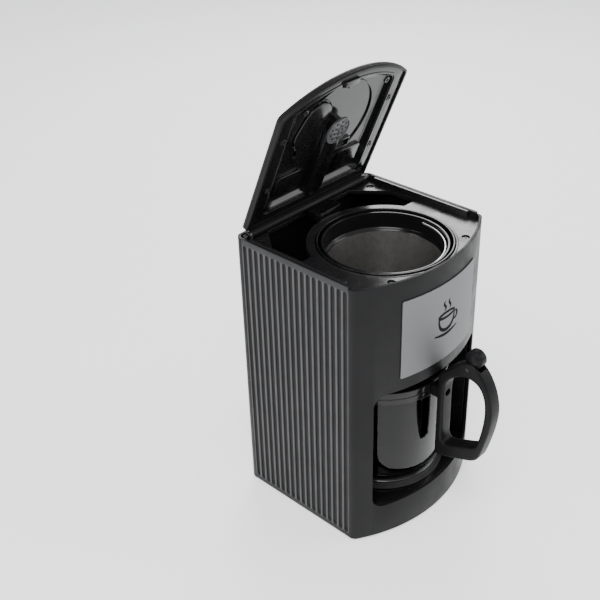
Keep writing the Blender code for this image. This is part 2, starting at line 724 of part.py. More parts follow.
def drip_valve():
    """The drip stop: a knob below the basket, its stem and the head inside."""
    base = VALVE_BOTTOM
    profile = [(0, 171.4), (7.0, 171.4), (8.0, 170.6), (8.0, 169.5), (4.5, 169.5), (4.5, base + 8),
               (9.6, base + 8), (10.7, base + 6.6), (10.7, base + 3), (8.5, base + 0.8),
               (5.0, base), (0, base)]
    valve = turned("drip_valve", profile, (0, BREW_Y, 0), GLOSS_BLACK, steps=20)
    smooth(valve)
    seal = turned("valve_seal", [(7.9, 169.2), (7.9, 168.35), (4.9, 168.35), (4.9, 169.2)],
                  (0, BREW_Y, 0), SILICONE, steps=20)
    smooth(seal)
    return valve, seal


def valve_spring():
    """The small coil that pushes the drip valve shut."""
    turns, per_turn, radius = 3, 10, 6.6
    low, high = VALVE_BOTTOM + 8.7, BASKET_TIP_Z - 0.7
    points = []
    for i in range(turns * per_turn + 1):
        angle = 2 * math.pi * i / per_turn
        z = low + (high - low) * i / (turns * per_turn)
        points.append((radius * math.cos(angle), BREW_Y + radius * math.sin(angle), z))
    return tube("valve_spring", points, 0.35, ZINC, 1)


def filter_frame_radius(z):
    """Outer radius of the permanent filter's cone at a height."""
    top_r = FILTER_R - 3.0
    slope = (top_r - FILTER_TIP_R) / (FILTER_CONE_TOP - FILTER_TIP_Z)
    return top_r - (FILTER_CONE_TOP - z) * slope


def permanent_filter():
    """The reusable filter: a rim and ribs with a fine mesh behind their openings."""
    wall = 1.8
    rim_in = FILTER_R - 1.9
    floor = FILTER_TIP_Z + 1.8
    profile = [(FILTER_R, FILTER_TOP), (FILTER_R - 1.2, FILTER_CONE_TOP + 1.5),
               (filter_frame_radius(FILTER_CONE_TOP), FILTER_CONE_TOP),
               (FILTER_TIP_R, FILTER_TIP_Z), (0, FILTER_TIP_Z)]
    inside = [(0, floor), (filter_frame_radius(floor) - wall, floor),
              (filter_frame_radius(FILTER_CONE_TOP) - wall, FILTER_CONE_TOP),
              (rim_in - 0.6, FILTER_CONE_TOP + 2.0), (rim_in, FILTER_TOP)]
    frame = turned("filter_frame", inside + profile, (0, BREW_Y, 0), GLOSS_BLACK, steps=32)
    levels = ((FILTER_CONE_TOP - 35, FILTER_CONE_TOP - 3), (FILTER_TIP_Z + 5, FILTER_CONE_TOP - 39))
    for row, (low, high) in enumerate(levels):
        half = 42 if row == 0 else 39
        loops = []
        for k in range(4):
            middle = 45 + 90 * k
            loops.append(arc(0, BREW_Y, 70, middle - half, middle + half, 4)
                         + arc(0, BREW_Y, 9, middle + half, middle - half, 2))
        cutter = plate(f"filter_windows_{row}", loops, low, high, None, CUTTERS)
        boolean(frame, cutter)
    pivots = turned("bail_holes", [(0, 70), (BAIL_WIRE_R + 0.3, 70), (BAIL_WIRE_R + 0.3, -70), (0, -70)],
                    (0, BREW_Y, BAIL_Z), None, CUTTERS, 12, 'X')
    boolean(frame, pivots)
    smooth(frame)
    low, high = floor + 0.4, FILTER_CONE_TOP - 0.6
    inset = wall + GAP
    thin = 0.5
    cone = [(filter_frame_radius(high) - inset, high), (filter_frame_radius(low) - inset, low),
            (filter_frame_radius(low) - inset - thin, low),
            (filter_frame_radius(high) - inset - thin, high)]
    mesh = turned("filter_mesh", cone, (0, BREW_Y, 0), FINE_MESH, steps=32)
    smooth(mesh)
    return frame, mesh


def filter_bail():
    """The wire bail, folded down inside the rim, with its ends through the rim's holes."""
    loop = arc(0, BREW_Y, BAIL_R, 180, 360, 18)
    end = FILTER_R - 0.3
    points = [(-end, BREW_Y, BAIL_Z)] + [(x, y, BAIL_Z) for x, y in loop] + [(end, BREW_Y, BAIL_Z)]
    bail = tube("filter_bail", points, BAIL_WIRE_R, ZINC, 1)
    smooth(bail, 60)
    return bail


# ---- heat and water -------------------------------------------------------------------------
def warming_plate():
    profile = [(0, PLATE_TOP), (PLATE_R - 4, PLATE_TOP), (PLATE_R - 2, PLATE_TOP - 0.3),
               (PLATE_R, PLATE_TOP - 1.4), (PLATE_R, PLATE_TOP - 3.0), (PLATE_R - 1.4, PLATE_TOP - 3.0),
               (PLATE_R - 2, PLATE_TOP - 1.6), (0, PLATE_TOP - 1.6)]
    disc = turned("warming_plate", profile, (0, BREW_Y, 0), BLACK_ENAMEL, steps=36)
    smooth(disc)
    low, high = BAY_FLOOR_Z[1] + GAP, PLATE_TOP - 3.2
    ring = turned("plate_seal_ring", [(60.5, low + 1.5), (60.5, low), (54.5, low), (54.5, high),
                                      (56.8, high), (56.8, low + 1.5)],
                  (0, BREW_Y, 0), RUBBER, steps=36)
    smooth(ring)


def heating_parts():
    """The horseshoe heating tube under the plate, its clamp, thermostat and thermal fuse."""
    half_gap = math.degrees(math.asin(PIPE_X / HEATER_R))
    bend = arc(0, BREW_Y, HEATER_R, 90 + half_gap, 450 - half_gap, 20)
    start_y = bend[0][1]
    drop = [(start_y + 5, HEATER_Z - 2.6), (start_y + 9.5, HEATER_Z - 8.0),
            (start_y + 14, TAIL_Z + 0.3), (66, TAIL_Z), (70, TAIL_Z)]
    tail_in = [(-PIPE_X, y, z) for y, z in reversed(drop)]
    tail_out = [(PIPE_X, y, z) for y, z in drop]
    points = tail_in + [(x, y, HEATER_Z) for x, y in bend] + tail_out
    heater = tube("heating_tube", points, 4.2, ALUMINIUM, 2)
    smooth(heater, 60)
    clamp = block("heater_clamp", (-30, BREW_Y - 5, 27.0), (30, BREW_Y + 5, 29.0), ZINC)
    smooth(clamp)
    stat = turned("thermostat", [(0, 40.6), (7.5, 40.6), (8.5, 39.6), (8.5, 34), (6, 33),
                                 (6, 29.4), (0, 29.4)], (0, BREW_Y, 0), DARK_GREY, steps=24)
    smooth(stat)
    fuse = turned("thermal_fuse", [(0, 12), (2.2, 12), (2.2, -12), (0, -12)],
                  (0, BREW_Y + 22, 36.0), ALUMINIUM, steps=14, axis='X')
    smooth(fuse)


def bend_path(start, corner, end):
    """Two straight runs joined by a round bend at a square corner."""
    radius, steps = 10.0, 6
    a = (Vector(start) - Vector(corner)).normalized()
    b = (Vector(end) - Vector(corner)).normalized()
    centre = Vector(corner) + (a + b) * radius
    out = [Vector(start)]
    for i in range(steps + 1):
        angle = math.pi / 2 * i / steps
        out.append(centre - b * radius * math.cos(angle) - a * radius * math.sin(angle))
    return out + [Vector(end)]


def water_path():
    """Check valve, hoses, riser tube and spout."""
    low = 36.0
    profile = [(0, TANK_Z[0] + 4), (4.6, TANK_Z[0] + 4), (4.9, TANK_Z[0] - GAP),
               (7.5, TANK_Z[0] - GAP), (7.5, low + 3), (5.0, low), (0, low)]
    valve = turned("check_valve", profile, (-PIPE_X, PIPE_Y, 0), SILICONE, steps=20)
    smooth(valve)
    for name, side, top in (("cold_hose", -1, low - GAP), ("hot_hose", 1, low - GAP)):
        points = bend_path((side * PIPE_X, 70.4, TAIL_Z), (side * PIPE_X, PIPE_Y, TAIL_Z),
                           (side * PIPE_X, PIPE_Y, top))
        smooth(tube(name, points, 5.2, SILICONE, 2), 60)
    riser = turned("riser_tube", [(4.9, 272.0), (4.9, low), (3.4, low), (3.4, 272.0)],
                   (PIPE_X, PIPE_Y, 0), DARK_GREY, steps=20)
    smooth(riser)
    spout = plate("spout", [rounded_rect(7, 94, 17, 7.5, 4, 4)], 272.4, 279.3, DARK_GREY)
    inlet = turned("spout_inlet", [(0, 276), (3.4, 276), (3.4, 270), (0, 270)],
                   (PIPE_X, PIPE_Y, 0), None, CUTTERS, 16)
    boolean(spout, inlet)
    outlet = turned("spout_outlet", [(0, 282), (3.4, 282), (3.4, 274), (0, 274)],
                    (0, 90, 0), None, CUTTERS, 16)
    boolean(spout, outlet)
    smooth(spout)


# ---- carafe ---------------------------------------------------------------------------------
def carafe_glass():
    outer = [(56.4, GLASS_TOP), (57.0, 146), (59.3, 139), (60.3, 131), (GLASS_R, 104),
             (60.2, 62), (58.0, 51), (54.0, 46), (48.0, 43.2), (0, 43.4)]
    inner = [(0, 45.6), (47.4, 45.3), (52.6, 47.8), (56.0, 52.2), (58.0, 62.5), (58.3, 104),
             (58.1, 131), (57.1, 138.6), (54.9, 145.4), (54.4, GLASS_TOP)]
    glass = turned("carafe_glass", inner + outer, (0, BREW_Y, 0), GLASS, steps=36)
    smooth(glass)
    return glass


def carafe_band():
    profile = [(BAND_R, BAND_Z[1] - 0.6), (BAND_R, BAND_Z[0]), (61.0, BAND_Z[0]),
               (60.8, BAND_Z[1] - 1.5), (55.4, BAND_Z[1] - 1.5), (55.4, BAND_Z[1]),
               (BAND_R - 0.8, BAND_Z[1])]
    band = turned("carafe_band", profile, (0, BREW_Y, 0), GLOSS_BLACK, steps=36)
    smooth(band)
    return band


def smooth_loop(points):
    """A closed Catmull-Rom curve through a few points."""
    steps = 3
    out = []
    count = len(points)
    for i in range(count):
        p0, p1, p2, p3 = (Vector(points[(i + k) % count]) for k in (-1, 0, 1, 2))
        for j in range(steps):
            t = j / steps
            out.append(0.5 * ((2 * p1) + (p2 - p0) * t + (2 * p0 - 5 * p1 + 4 * p2 - p3) * t * t
                              + (3 * p1 - p0 - 3 * p2 + p3) * t ** 3))
    return [(p.x, p.y) for p in out]


HANDLE_OUTER = ((-55.4, 77), (-55.4, 100), (-55.4, 140), (-56.4, 165.5), (-63.5, 174), (-72, 182),
                (-80, 189.5), (-90, 191), (-101, 183), (-109.8, 168), (-114.19, 150), (-113, 131),
                (-109, 112), (-105, 97.5), (-101, 89), (-78, 79.5), (-59, 73))
HANDLE_INNER = ((-63, 90), (-62.8, 110), (-62.8, 150), (-66.5, 163), (-76, 171.8), (-87, 175.6),
                (-97.5, 173), (-104, 164), (-106.6, 151), (-106.2, 136), (-104, 121),
                (-100.5, 107.5), (-95, 101.8), (-80, 94.8))


def carafe_handle():
    """The D-shaped handle: its strap stands off the glass and a block joins it to the band."""
    half = HANDLE_HALF_W
    handle = plate("carafe_handle", [smooth_loop(HANDLE_OUTER), smooth_loop(HANDLE_INNER)],
                   -half, half, CHARCOAL, PARTS, 'X')
    front_gap = BREW_Y - BAND_R - GAP
    joint = block("handle_block_tool", (-7, -58, 139.5), (7, front_gap, 150.8))
    boolean(handle, joint, 'UNION')
    slot_outline = [(-50, 155.4), (-57.6, 160.6), (-66.5, 171.6), (-76, 179.3), (-98, 182.4),
                    (-98, 202), (-50, 202)]
    slot = plate("handle_slot_cutter", [slot_outline], -4.5, 4.5, None, CUTTERS, 'X')
    boolean(handle, slot)
    bore = turned("handle_pin_bore", [(0, 12), (PIN_HOLE_R, 12), (PIN_HOLE_R, -12), (0, -12)],
                  (0, LEVER_PIN_Y, LEVER_PIN_Z + 0.5), None, CUTTERS, 16, 'X')
    boolean(handle, bore)
    screw_bore = turned("handle_screw_bore", [(0, 5), (3.9, 5), (3.9, -7), (1.9, -7), (1.9, -16),
                                              (0, -16)],
                        (0, -62.8, 145.2), None, CUTTERS, 16, 'Y')
    screw_bore.rotation_euler = (math.pi / 2, 0, 0)
    boolean(handle, screw_bore)
    soften(handle, 1.2, 1, 60)
    smooth(handle)
    return handle


def handle_screw():
    """The screw that clamps the handle's block, driven from the finger side."""
    profile = [(0, 1.8), (2.6, 1.8), (3.5, 1.0), (3.5, 0), (1.6, 0), (1.6, -6.0), (0, -6.6)]
    piece = turned("handle_screw", profile, (0, -56.2, 145.2), ZINC, steps=12)
    piece.rotation_euler = (math.pi / 2, 0, 0)
    smooth(piece)
    return piece


def carafe_lid():
    """The carafe's lid, dished along the middle so that the drip valve passes over it."""
    top = 152.9
    profile = [(0, top), (52.5, top), (54.8, top - 1.0), (54.8, 150.6), (53.6, 150.6),
               (52.4, 144.5), (0, 144.5)]
    lid = turned("carafe_lid", profile, (0, BREW_Y, 0), GLOSS_BLACK, steps=36)
    outline = capsule((0, BREW_Y), (0, BREW_Y + 80), 16.0, 8)
    boolean(lid, plate("lid_dish_cutter", [outline], 147.0, top + 4, None, CUTTERS))
    drain = turned("lid_drain_cutter", [(0, 148), (6.0, 148), (6.0, 142), (0, 142)],
                   (0, BREW_Y, 0), None, CUTTERS, 20)
    boolean(lid, drain)
    smooth(lid)
    return lid


def thumb_lever():
    """The lever that lifts the carafe's lid: an arm along the handle's slot with a round pad."""
    pad_y, pad_z, pad_r = LEVER_PIN_Y - 4, LEVER_PIN_Z + 11.5, 8.6
    arm = [(-41.5, 153.2), (-41.5, 155.6), (-49, 157.2), (-62, 172.0), (-70, 181.5), (-80, 188.0)]
    arm += arc(pad_y, pad_z, pad_r, -25, 245, 10)
    arm += [(-92, 183.6), (-86, 181.6), (-76, 180.3), (-66, 173.2), (-57.2, 161.9),
            (-53.5, 158.6), (-49, 153.4)]
    hole = circle(LEVER_PIN_Y, LEVER_PIN_Z + 0.5, PIN_HOLE_R, 16)
    lever = plate("thumb_lever", [arm, hole], -4.1, 4.1, GLOSS_BLACK, PARTS, 'X')
    soften(lever, 0.5, 1, 60)
    smooth(lever)
    pin = turned("lever_pin", [(0, 7.2), (PIN_R, 7.2), (PIN_R, -7.2), (0, -7.2)],
                 (0, LEVER_PIN_Y, LEVER_PIN_Z + 0.5), ZINC, steps=16, axis='X')
    smooth(pin)
    return lever, pin


# ---- switch and gland -----------------------------------------------------------------------
def rocker_switch():
    """A rocker with its bezel, set into the lower front of the right side panel."""
    bezel_u, bezel_v = 13.2, 18.2
    hole = [rounded_rect(SWITCH_Y, SWITCH_Z, bezel_u + GAP, bezel_v + GAP, 3, 3)]
    cutter = plate("switch_opening", hole, 80, 95, None, CUTTERS, 'X')
    boolean(bpy.data.objects["side_panel_right"], cutter)
    outer = rounded_rect(SWITCH_Y, SWITCH_Z, bezel_u, bezel_v, 3, 3)
    inner = rounded_rect(SWITCH_Y, SWITCH_Z, 7.8, 12.4, 1, 2)
    bezel = plate("switch_bezel", [outer, inner], 79.5, HALF_W - 0.2, GLOSS_BLACK, PARTS, 'X')
    smooth(bezel)
    face = [(4.4, -11.0), (1.7, 0), (4.4, 11.0), (-3.0, 10.6), (-4.0, 0), (-3.0, -10.6)]
    rocker = plate("rocker", [face], -7.3, 7.3, SWITCH_RED, PARTS, 'Y')
    rocker.location = Vector((SWITCH_PIVOT_X, SWITCH_Y, SWITCH_Z)) * MM
    rocker.rotation_euler = (0, SWITCH_TILT, 0)
    smooth(rocker)


def cord_gland():
    """The bush in the rear cover where a mains cord would come in."""
    profile = [(6.9, 8.2), (6.9, 2.2), (9.5, 2.2), (9.5, 0), (3.6, 0), (3.6, 7.2), (4.6, 8.2)]
    gland = turned("cord_gland", profile, (GLAND_X, REAR_Y - 8.4, GLAND_Z), RUBBER, steps=24)
    gland.rotation_euler = (-math.pi / 2, 0, 0)
    smooth(gland)


# ---- build ----------------------------------------------------------------------------------
side_panel("side_panel_left", -1)
side_panel("side_panel_right", 1)
bowed_cover()
rear_cover()
base_plate()
for number, (foot_x, foot_y) in enumerate(FEET, 1):
    rubber_foot(number, foot_x, foot_y)
for number, (screw_x, screw_y) in enumerate(BASE_SCREWS, 1):
    screw(f"base_screw_{number}", screw_x, screw_y, 3.2, 3.4, 1.6, 8.0, 1)
top_deck()
for number, (screw_x, screw_y) in enumerate(DECK_SCREWS, 1):
    screw(f"deck_screw_{number}", screw_x, screw_y, DECK_Z[0] + 1.3, 3.4, 1.4, 5.0, -1, BLACK_ENAMEL)
carafe_bay()
water_tank()
badge_plate()
hinge_pins()
warming_plate()
heating_parts()
water_path()
rocker_switch()
cord_gland()

lid_pieces = [lid_shell(), lid_inner_plate(), shower_head()]
lid_axis = pivot_at("lid_axis", (0, LID_AXIS_Y, LID_AXIS_Z), lid_pieces)
lid_axis.rotation_euler = (-LID_OPEN, 0, 0)

basket_pieces = [filter_basket(), valve_spring()]
pivot_at("basket_axis", (0, BREW_Y, BASKET_TOP), basket_pieces)
pivot_at("valve_axis", (0, BREW_Y, VALVE_BOTTOM), drip_valve())
pivot_at("filter_axis", (0, BREW_Y, FILTER_TOP), permanent_filter())
pivot_at("bail_axis", (0, BREW_Y, BAIL_Z), [filter_bail()])

carafe_pieces = [carafe_glass(), carafe_band(), carafe_handle(), handle_screw()]
lever, lever_pin = thumb_lever()
pivot_at("carafe_axis", (0, BREW_Y, PLATE_TOP), carafe_pieces + [lever_pin])
pivot_at("carafe_lid_axis", (0, LEVER_PIN_Y, LEVER_PIN_Z + 0.5), [carafe_lid(), lever])
bpy.context.view_layer.update()
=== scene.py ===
import json
import math
import bpy
import bmesh
from mathutils import Matrix, Vector


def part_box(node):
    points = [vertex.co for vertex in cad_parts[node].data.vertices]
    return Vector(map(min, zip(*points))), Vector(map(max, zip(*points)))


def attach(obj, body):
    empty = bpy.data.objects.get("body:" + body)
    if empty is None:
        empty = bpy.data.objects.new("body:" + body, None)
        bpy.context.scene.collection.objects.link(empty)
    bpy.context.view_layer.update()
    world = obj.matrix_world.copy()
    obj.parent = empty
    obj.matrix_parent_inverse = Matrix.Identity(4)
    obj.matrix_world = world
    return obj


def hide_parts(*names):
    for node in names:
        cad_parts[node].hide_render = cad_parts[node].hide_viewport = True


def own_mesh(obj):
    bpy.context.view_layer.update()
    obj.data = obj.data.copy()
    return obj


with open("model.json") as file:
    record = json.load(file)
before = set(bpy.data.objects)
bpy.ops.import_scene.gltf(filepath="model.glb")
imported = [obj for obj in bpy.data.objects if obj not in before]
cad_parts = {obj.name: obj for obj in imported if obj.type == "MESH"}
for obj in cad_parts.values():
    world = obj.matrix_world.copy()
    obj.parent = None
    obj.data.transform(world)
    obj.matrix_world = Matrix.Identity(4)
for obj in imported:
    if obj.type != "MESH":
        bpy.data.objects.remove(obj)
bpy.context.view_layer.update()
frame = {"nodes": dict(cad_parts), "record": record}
MM = 0.001
THIN = 0.01  # the rim rounding in millimetres of a tool that cuts, which stays sharp

# sizes in millimetres that several pieces share, as in the CAD
BREW_Y = 14.3
HALF_W = 90.0
REAR_Y = 114.3
FRONT_Y = -54.3
BOW = 28.2
BOW_R = (HALF_W ** 2 + BOW ** 2) / (2 * BOW)
CORNER_R = 8.0
COVER_T = 2.8
LEVER_AXIS = (-86.0, 184.5)


def linked(name, data):
    obj = bpy.data.objects.new(name, data)
    bpy.context.scene.collection.objects.link(obj)
    return obj


def span(node):
    """The low and high corner of a CAD node, in millimetres."""
    return [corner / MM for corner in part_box(node)]


def joint(name):
    return next(row for row in frame["record"]["behaviour"]["joints"] if row["name"] == name)


# ---- camera
def make_camera():
    """The camera stands high on the left of the front, looking down on the open lid."""
    azimuth, elevation = math.radians(-49.306), math.radians(34.903)
    distance, shift_right, shift_up, roll = 0.99288, -0.05834, 0.05056, -0.0319
    centre = Vector((0.0, 0.0441, 0.14051))
    back = Vector((math.sin(azimuth) * math.cos(elevation),
                   -math.cos(azimuth) * math.cos(elevation), math.sin(elevation)))
    right = Vector((math.cos(azimuth), math.sin(azimuth), 0.0))
    up = back.cross(right)
    place = centre + back * distance
    aim = centre + right * shift_right + up * shift_up
    b = -(aim - place).normalized()
    r = Vector((0, 0, 1)).cross(b).normalized()
    u = b.cross(r)
    c, s = math.cos(roll), math.sin(roll)
    r, u = r * c + u * s, u * c - r * s
    data = bpy.data.cameras.new("camera")
    data.lens = 60.805
    data.sensor_width = 36.0
    camera = linked("camera", data)
    turn = Matrix((r, u, b)).transposed().to_4x4()
    camera.matrix_world = Matrix.Translation(place) @ turn
    bpy.context.scene.camera = camera


def area_light(name, place, aim, size, power, size_y=None):
    data = bpy.data.lights.new(name, 'AREA')
    data.shape = 'RECTANGLE'
    data.size = size
    data.size_y = size_y or size
    data.energy = power
    lamp = linked(name, data)
    lamp.location = place
    lamp.rotation_euler = (Vector(aim) - Vector(place)).to_track_quat('-Z', 'Y').to_euler()


def make_studio():
    world = bpy.data.worlds.new("studio")
    bpy.context.scene.world = world
    world.use_nodes = True
    world.node_tree.nodes["Background"].inputs[0].default_value = (0.95, 0.97, 1.0, 1.0)
    world.node_tree.nodes["Background"].inputs[1].default_value = 0.75
    area_light("key", (-0.9, -0.5, 1.5), (0, 0, 0.15), 0.9, 22.0)
    area_light("left_strip", (-1.3, 0.5, 0.45), (0, 0.05, 0.15), 0.5, 7.0, 1.2)
    area_light("right_fill", (1.1, -0.9, 0.8), (0, 0, 0.15), 0.8, 8.0)
    area_light("deck_sheen", (1.05, 0.95, 1.15), (0, 0, 0.27), 0.8, 16.0)
    mesh = bpy.data.meshes.new("floor")
    work = bmesh.new()
    bmesh.ops.create_grid(work, x_segments=1, y_segments=1, size=6.0)
    work.to_mesh(mesh)
    work.free()
    floor = linked("floor", mesh)
    floor.location.z = -0.0002
    paint = bpy.data.materials.new("floor_paint")
    paint.use_nodes = True
    shader = paint.node_tree.nodes["Principled BSDF"]
    shader.inputs["Base Color"].default_value = (0.93, 0.93, 0.93, 1.0)
    shader.inputs["Roughness"].default_value = 0.7
    shader.inputs["Emission Color"].default_value = (1.0, 1.0, 1.0, 1.0)
    shader.inputs["Emission Strength"].default_value = 0.75
    mesh.materials.append(paint)


# ---- materials
class Nodes:
    """A short way to write a node tree."""

    def __init__(self, name):
        self.material = bpy.data.materials.new(name)
        self.material.use_nodes = True
        self.tree = self.material.node_tree
        self.shader = self.tree.nodes["Principled BSDF"]
        self.place = self.add('ShaderNodeTexCoord').outputs["Object"]

    def add(self, kind, links=None, **settings):
        node = self.tree.nodes.new(kind)
        for key, value in settings.items():
            setattr(node, key, value)
        for socket, value in (links or {}).items():
            if isinstance(value, bpy.types.NodeSocket):
                self.tree.links.new(value, node.inputs[socket])
            else:
                node.inputs[socket].default_value = value
        return node

    def link(self, output, socket):
        self.tree.links.new(output, self.shader.inputs[socket])

    def stretched(self, scale):
        return self.add('ShaderNodeMapping', {"Vector": self.place, "Scale": scale}).outputs[0]

    def noise(self, scale, detail=3.0, place=None, rough=0.5):
        node = self.add('ShaderNodeTexNoise', {"Vector": place or self.place, "Scale": scale,
                                               "Detail": detail, "Roughness": rough})
        return node.outputs[0]

    def voronoi(self, scale):
        return self.add('ShaderNodeTexVoronoi', {"Vector": self.place, "Scale": scale}).outputs[0]

    def math(self, operation, a, b=0.0, clamp=False):
        node = self.add('ShaderNodeMath', {0: a, 1: b}, operation=operation)
        node.use_clamp = clamp
        return node.outputs[0]

    def spread(self, value, low, high, to_low, to_high):
        node = self.add('ShaderNodeMapRange', {0: value, 1: low, 2: high, 3: to_low, 4: to_high})
        return node.outputs[0]

    def mix(self, factor, a, b):
        node = self.add('ShaderNodeMix', {0: factor}, data_type='RGBA')
        for index, value in ((6, a), (7, b)):
            if isinstance(value, bpy.types.NodeSocket):
                self.tree.links.new(value, node.inputs[index])
            else:
                node.inputs[index].default_value = (*value, 1.0)
        return node.outputs[2]

    def edge_mask(self, radius):
        """1 on convex and concave edges, 0 on flats; also gives the rounded normal."""
        bevel = self.add('ShaderNodeBevel', {"Radius": radius}, samples=4).outputs[0]
        true = self.add('ShaderNodeNewGeometry').outputs["Normal"]
        dot = self.add('ShaderNodeVectorMath', {0: bevel, 1: true}, operation='DOT_PRODUCT').outputs[1]
        return self.spread(dot, 0.985, 0.80, 0.0, 1.0), bevel


def shade(n, rgb):
    return tuple(min(1.0, c * n) for c in rgb)


def surface(name, colour, rough, metallic=0.0, grain=(900.0, 0.00004), cloud=(14.0, 0.18),
            rough_spread=0.08, wear=0.5, wear_colour=None, edge=0.0006, coat=0.0, specks=None,
            brushed=None, specular=0.5):
    """A surface with grain, uneven colour and roughness, and edges lightened by wear."""
    n = Nodes(name)
    broad = n.noise(cloud[0], 4.0)
    tint = n.mix(n.spread(broad, 0.3, 0.7, 0.0, 1.0), shade(1 - cloud[1], colour),
                 shade(1 + cloud[1], colour))
    edges, rounded = n.edge_mask(edge)
    patchy = n.spread(n.noise(160.0, 5.0), 0.42, 0.62, 0.0, 1.0)
    wear_and_highlight_patches = n.math('MULTIPLY', n.math('MULTIPLY', edges, patchy), wear, clamp=True)
    tint = n.mix(wear_and_highlight_patches, tint, wear_colour or shade(2.2, colour))
    height = n.noise(grain[0], 2.0)
    roughness = n.spread(n.noise(55.0, 5.0), 0.3, 0.7, rough - rough_spread, rough + rough_spread)
    if brushed:
        lines = n.noise(1.0, 3.0, n.stretched(brushed), 0.6)
        height = lines
        tint = n.mix(n.spread(lines, 0.3, 0.7, 0.0, 0.5), tint, shade(1.25, colour))
        roughness = n.spread(lines, 0.3, 0.7, rough - rough_spread, rough + rough_spread)
    if specks:
        dust = n.spread(n.voronoi(specks), 0.02, 0.10, 1.0, 0.0)
        tint = n.mix(n.math('MULTIPLY', dust, 0.25), tint, shade(2.5, colour))
    bump = n.add('ShaderNodeBump', {"Height": height, "Strength": 1.0, "Distance": grain[1],
                                    "Normal": rounded})
    n.link(tint, "Base Color")
    n.link(n.math('ADD', roughness, n.math('MULTIPLY', wear_and_highlight_patches, 0.12), clamp=True), "Roughness")
    n.link(bump.outputs[0], "Normal")
    n.shader.inputs["Metallic"].default_value = metallic
    n.shader.inputs["Specular IOR Level"].default_value = specular
    if coat:
        n.shader.inputs["Coat Weight"].default_value = coat
        n.shader.inputs["Coat Roughness"].default_value = 0.08
    return n


def glass_material():
    n = Nodes("smoked_glass_look")
    smear = n.noise(28.0, 6.0)
    n.link(n.spread(smear, 0.35, 0.75, 0.0, 0.012), "Roughness")
    cloud = n.spread(n.noise(9.0), 0.3, 0.7, 0.0, 1.0)
    n.link(n.mix(cloud, (0.10, 0.105, 0.105), (0.14, 0.145, 0.145)), "Base Color")
    bump = n.add('ShaderNodeBump', {"Height": n.noise(18.0, 1.0), "Distance": 0.00003})
    n.link(bump.outputs[0], "Normal")
    n.shader.inputs["Transmission Weight"].default_value = 1.0
    n.shader.inputs["IOR"].default_value = 1.36
    return n.material


def mesh_material():
    """A fine woven mesh: threads round the cone and down it, clear between them."""
    n = Nodes("fine_mesh_look")
    parts = n.add('ShaderNodeSeparateXYZ', {0: n.place})
    x, y, z = parts.outputs
    angle = n.math('ARCTAN2', n.math('SUBTRACT', y, BREW_Y * MM), x)
    across = n.math('ABSOLUTE', n.math('SINE', n.math('MULTIPLY', angle, 150.0)))
    down = n.math('ABSOLUTE', n.math('SINE', n.math('MULTIPLY', z, 3900.0)))
    gap = n.math('MINIMUM', across, down)
    thread = n.spread(gap, 0.35, 0.55, 1.0, 0.0)
    n.link(n.spread(thread, 0.0, 1.0, 0.15, 0.85), "Alpha")
    n.link(n.mix(n.noise(240.0, 3.0), (0.035, 0.034, 0.032), (0.085, 0.081, 0.075)), "Base Color")
    bump = n.add('ShaderNodeBump', {"Height": thread, "Distance": 0.0001})
    n.link(bump.outputs[0], "Normal")
    n.link(n.spread(n.noise(300.0), 0.3, 0.7, 0.35, 0.6), "Roughness")
    return n.material


BLACK = (0.0055, 0.0055, 0.006)
CHARCOAL = (0.0085, 0.0085, 0.009)
# colour of the painted highlight on the side panels' rib tops
RIB_PAINTED_HIGHLIGHT = (0.072, 0.072, 0.074)

LOOKS = {
    "charcoal_plastic": surface("charcoal_look", CHARCOAL, 0.42, grain=(1500.0, 0.00003),
                                specks=900.0, specular=0.13).material,
    "gloss_black_plastic": surface("gloss_black_look", BLACK, 0.17, grain=(420.0, 0.000015),
                                   rough_spread=0.06, wear=0.35, specular=0.35).material,
    "dark_grey_plastic": surface("dark_grey_look", (0.04, 0.04, 0.042), 0.42).material,
    "brushed_steel": surface("brushed_steel_look", (0.20, 0.204, 0.208), 0.66, 1.0,
                             grain=(1.0, 0.00002), cloud=(6.0, 0.05), rough_spread=0.05,
                             wear_colour=(0.8, 0.8, 0.8), edge=0.0004,
                             brushed=(30.0, 30.0, 5200.0)).material,
    "zinc_steel": surface("zinc_look", (0.50, 0.50, 0.50), 0.3, 1.0, grain=(700.0, 0.00002),
                          wear_colour=(0.75, 0.75, 0.75), edge=0.0003).material,
    "aluminium": surface("aluminium_look", (0.62, 0.63, 0.64), 0.42, 1.0,
                         brushed=(2500.0, 60.0, 2500.0)).material,
    "black_enamel": surface("enamel_look", (0.011, 0.011, 0.011), 0.28, coat=0.6,
                            grain=(600.0, 0.00004), specks=500.0).material,
    "rubber": surface("rubber_look", (0.016, 0.016, 0.016), 0.75, grain=(1300.0, 0.00008),
                      cloud=(30.0, 0.25), wear=0.2).material,
    "white_silicone": surface("silicone_look", (0.62, 0.61, 0.57), 0.5, grain=(800.0, 0.00004),
                              wear_colour=(0.8, 0.78, 0.72)).material,
    "switch_red": surface("switch_red_look", (0.36, 0.012, 0.010), 0.22, coat=0.5,
                          grain=(500.0, 0.00002), wear_colour=(0.6, 0.10, 0.08)).material,
    "smoked_glass": glass_material(),
    "fine_mesh": mesh_material(),
}


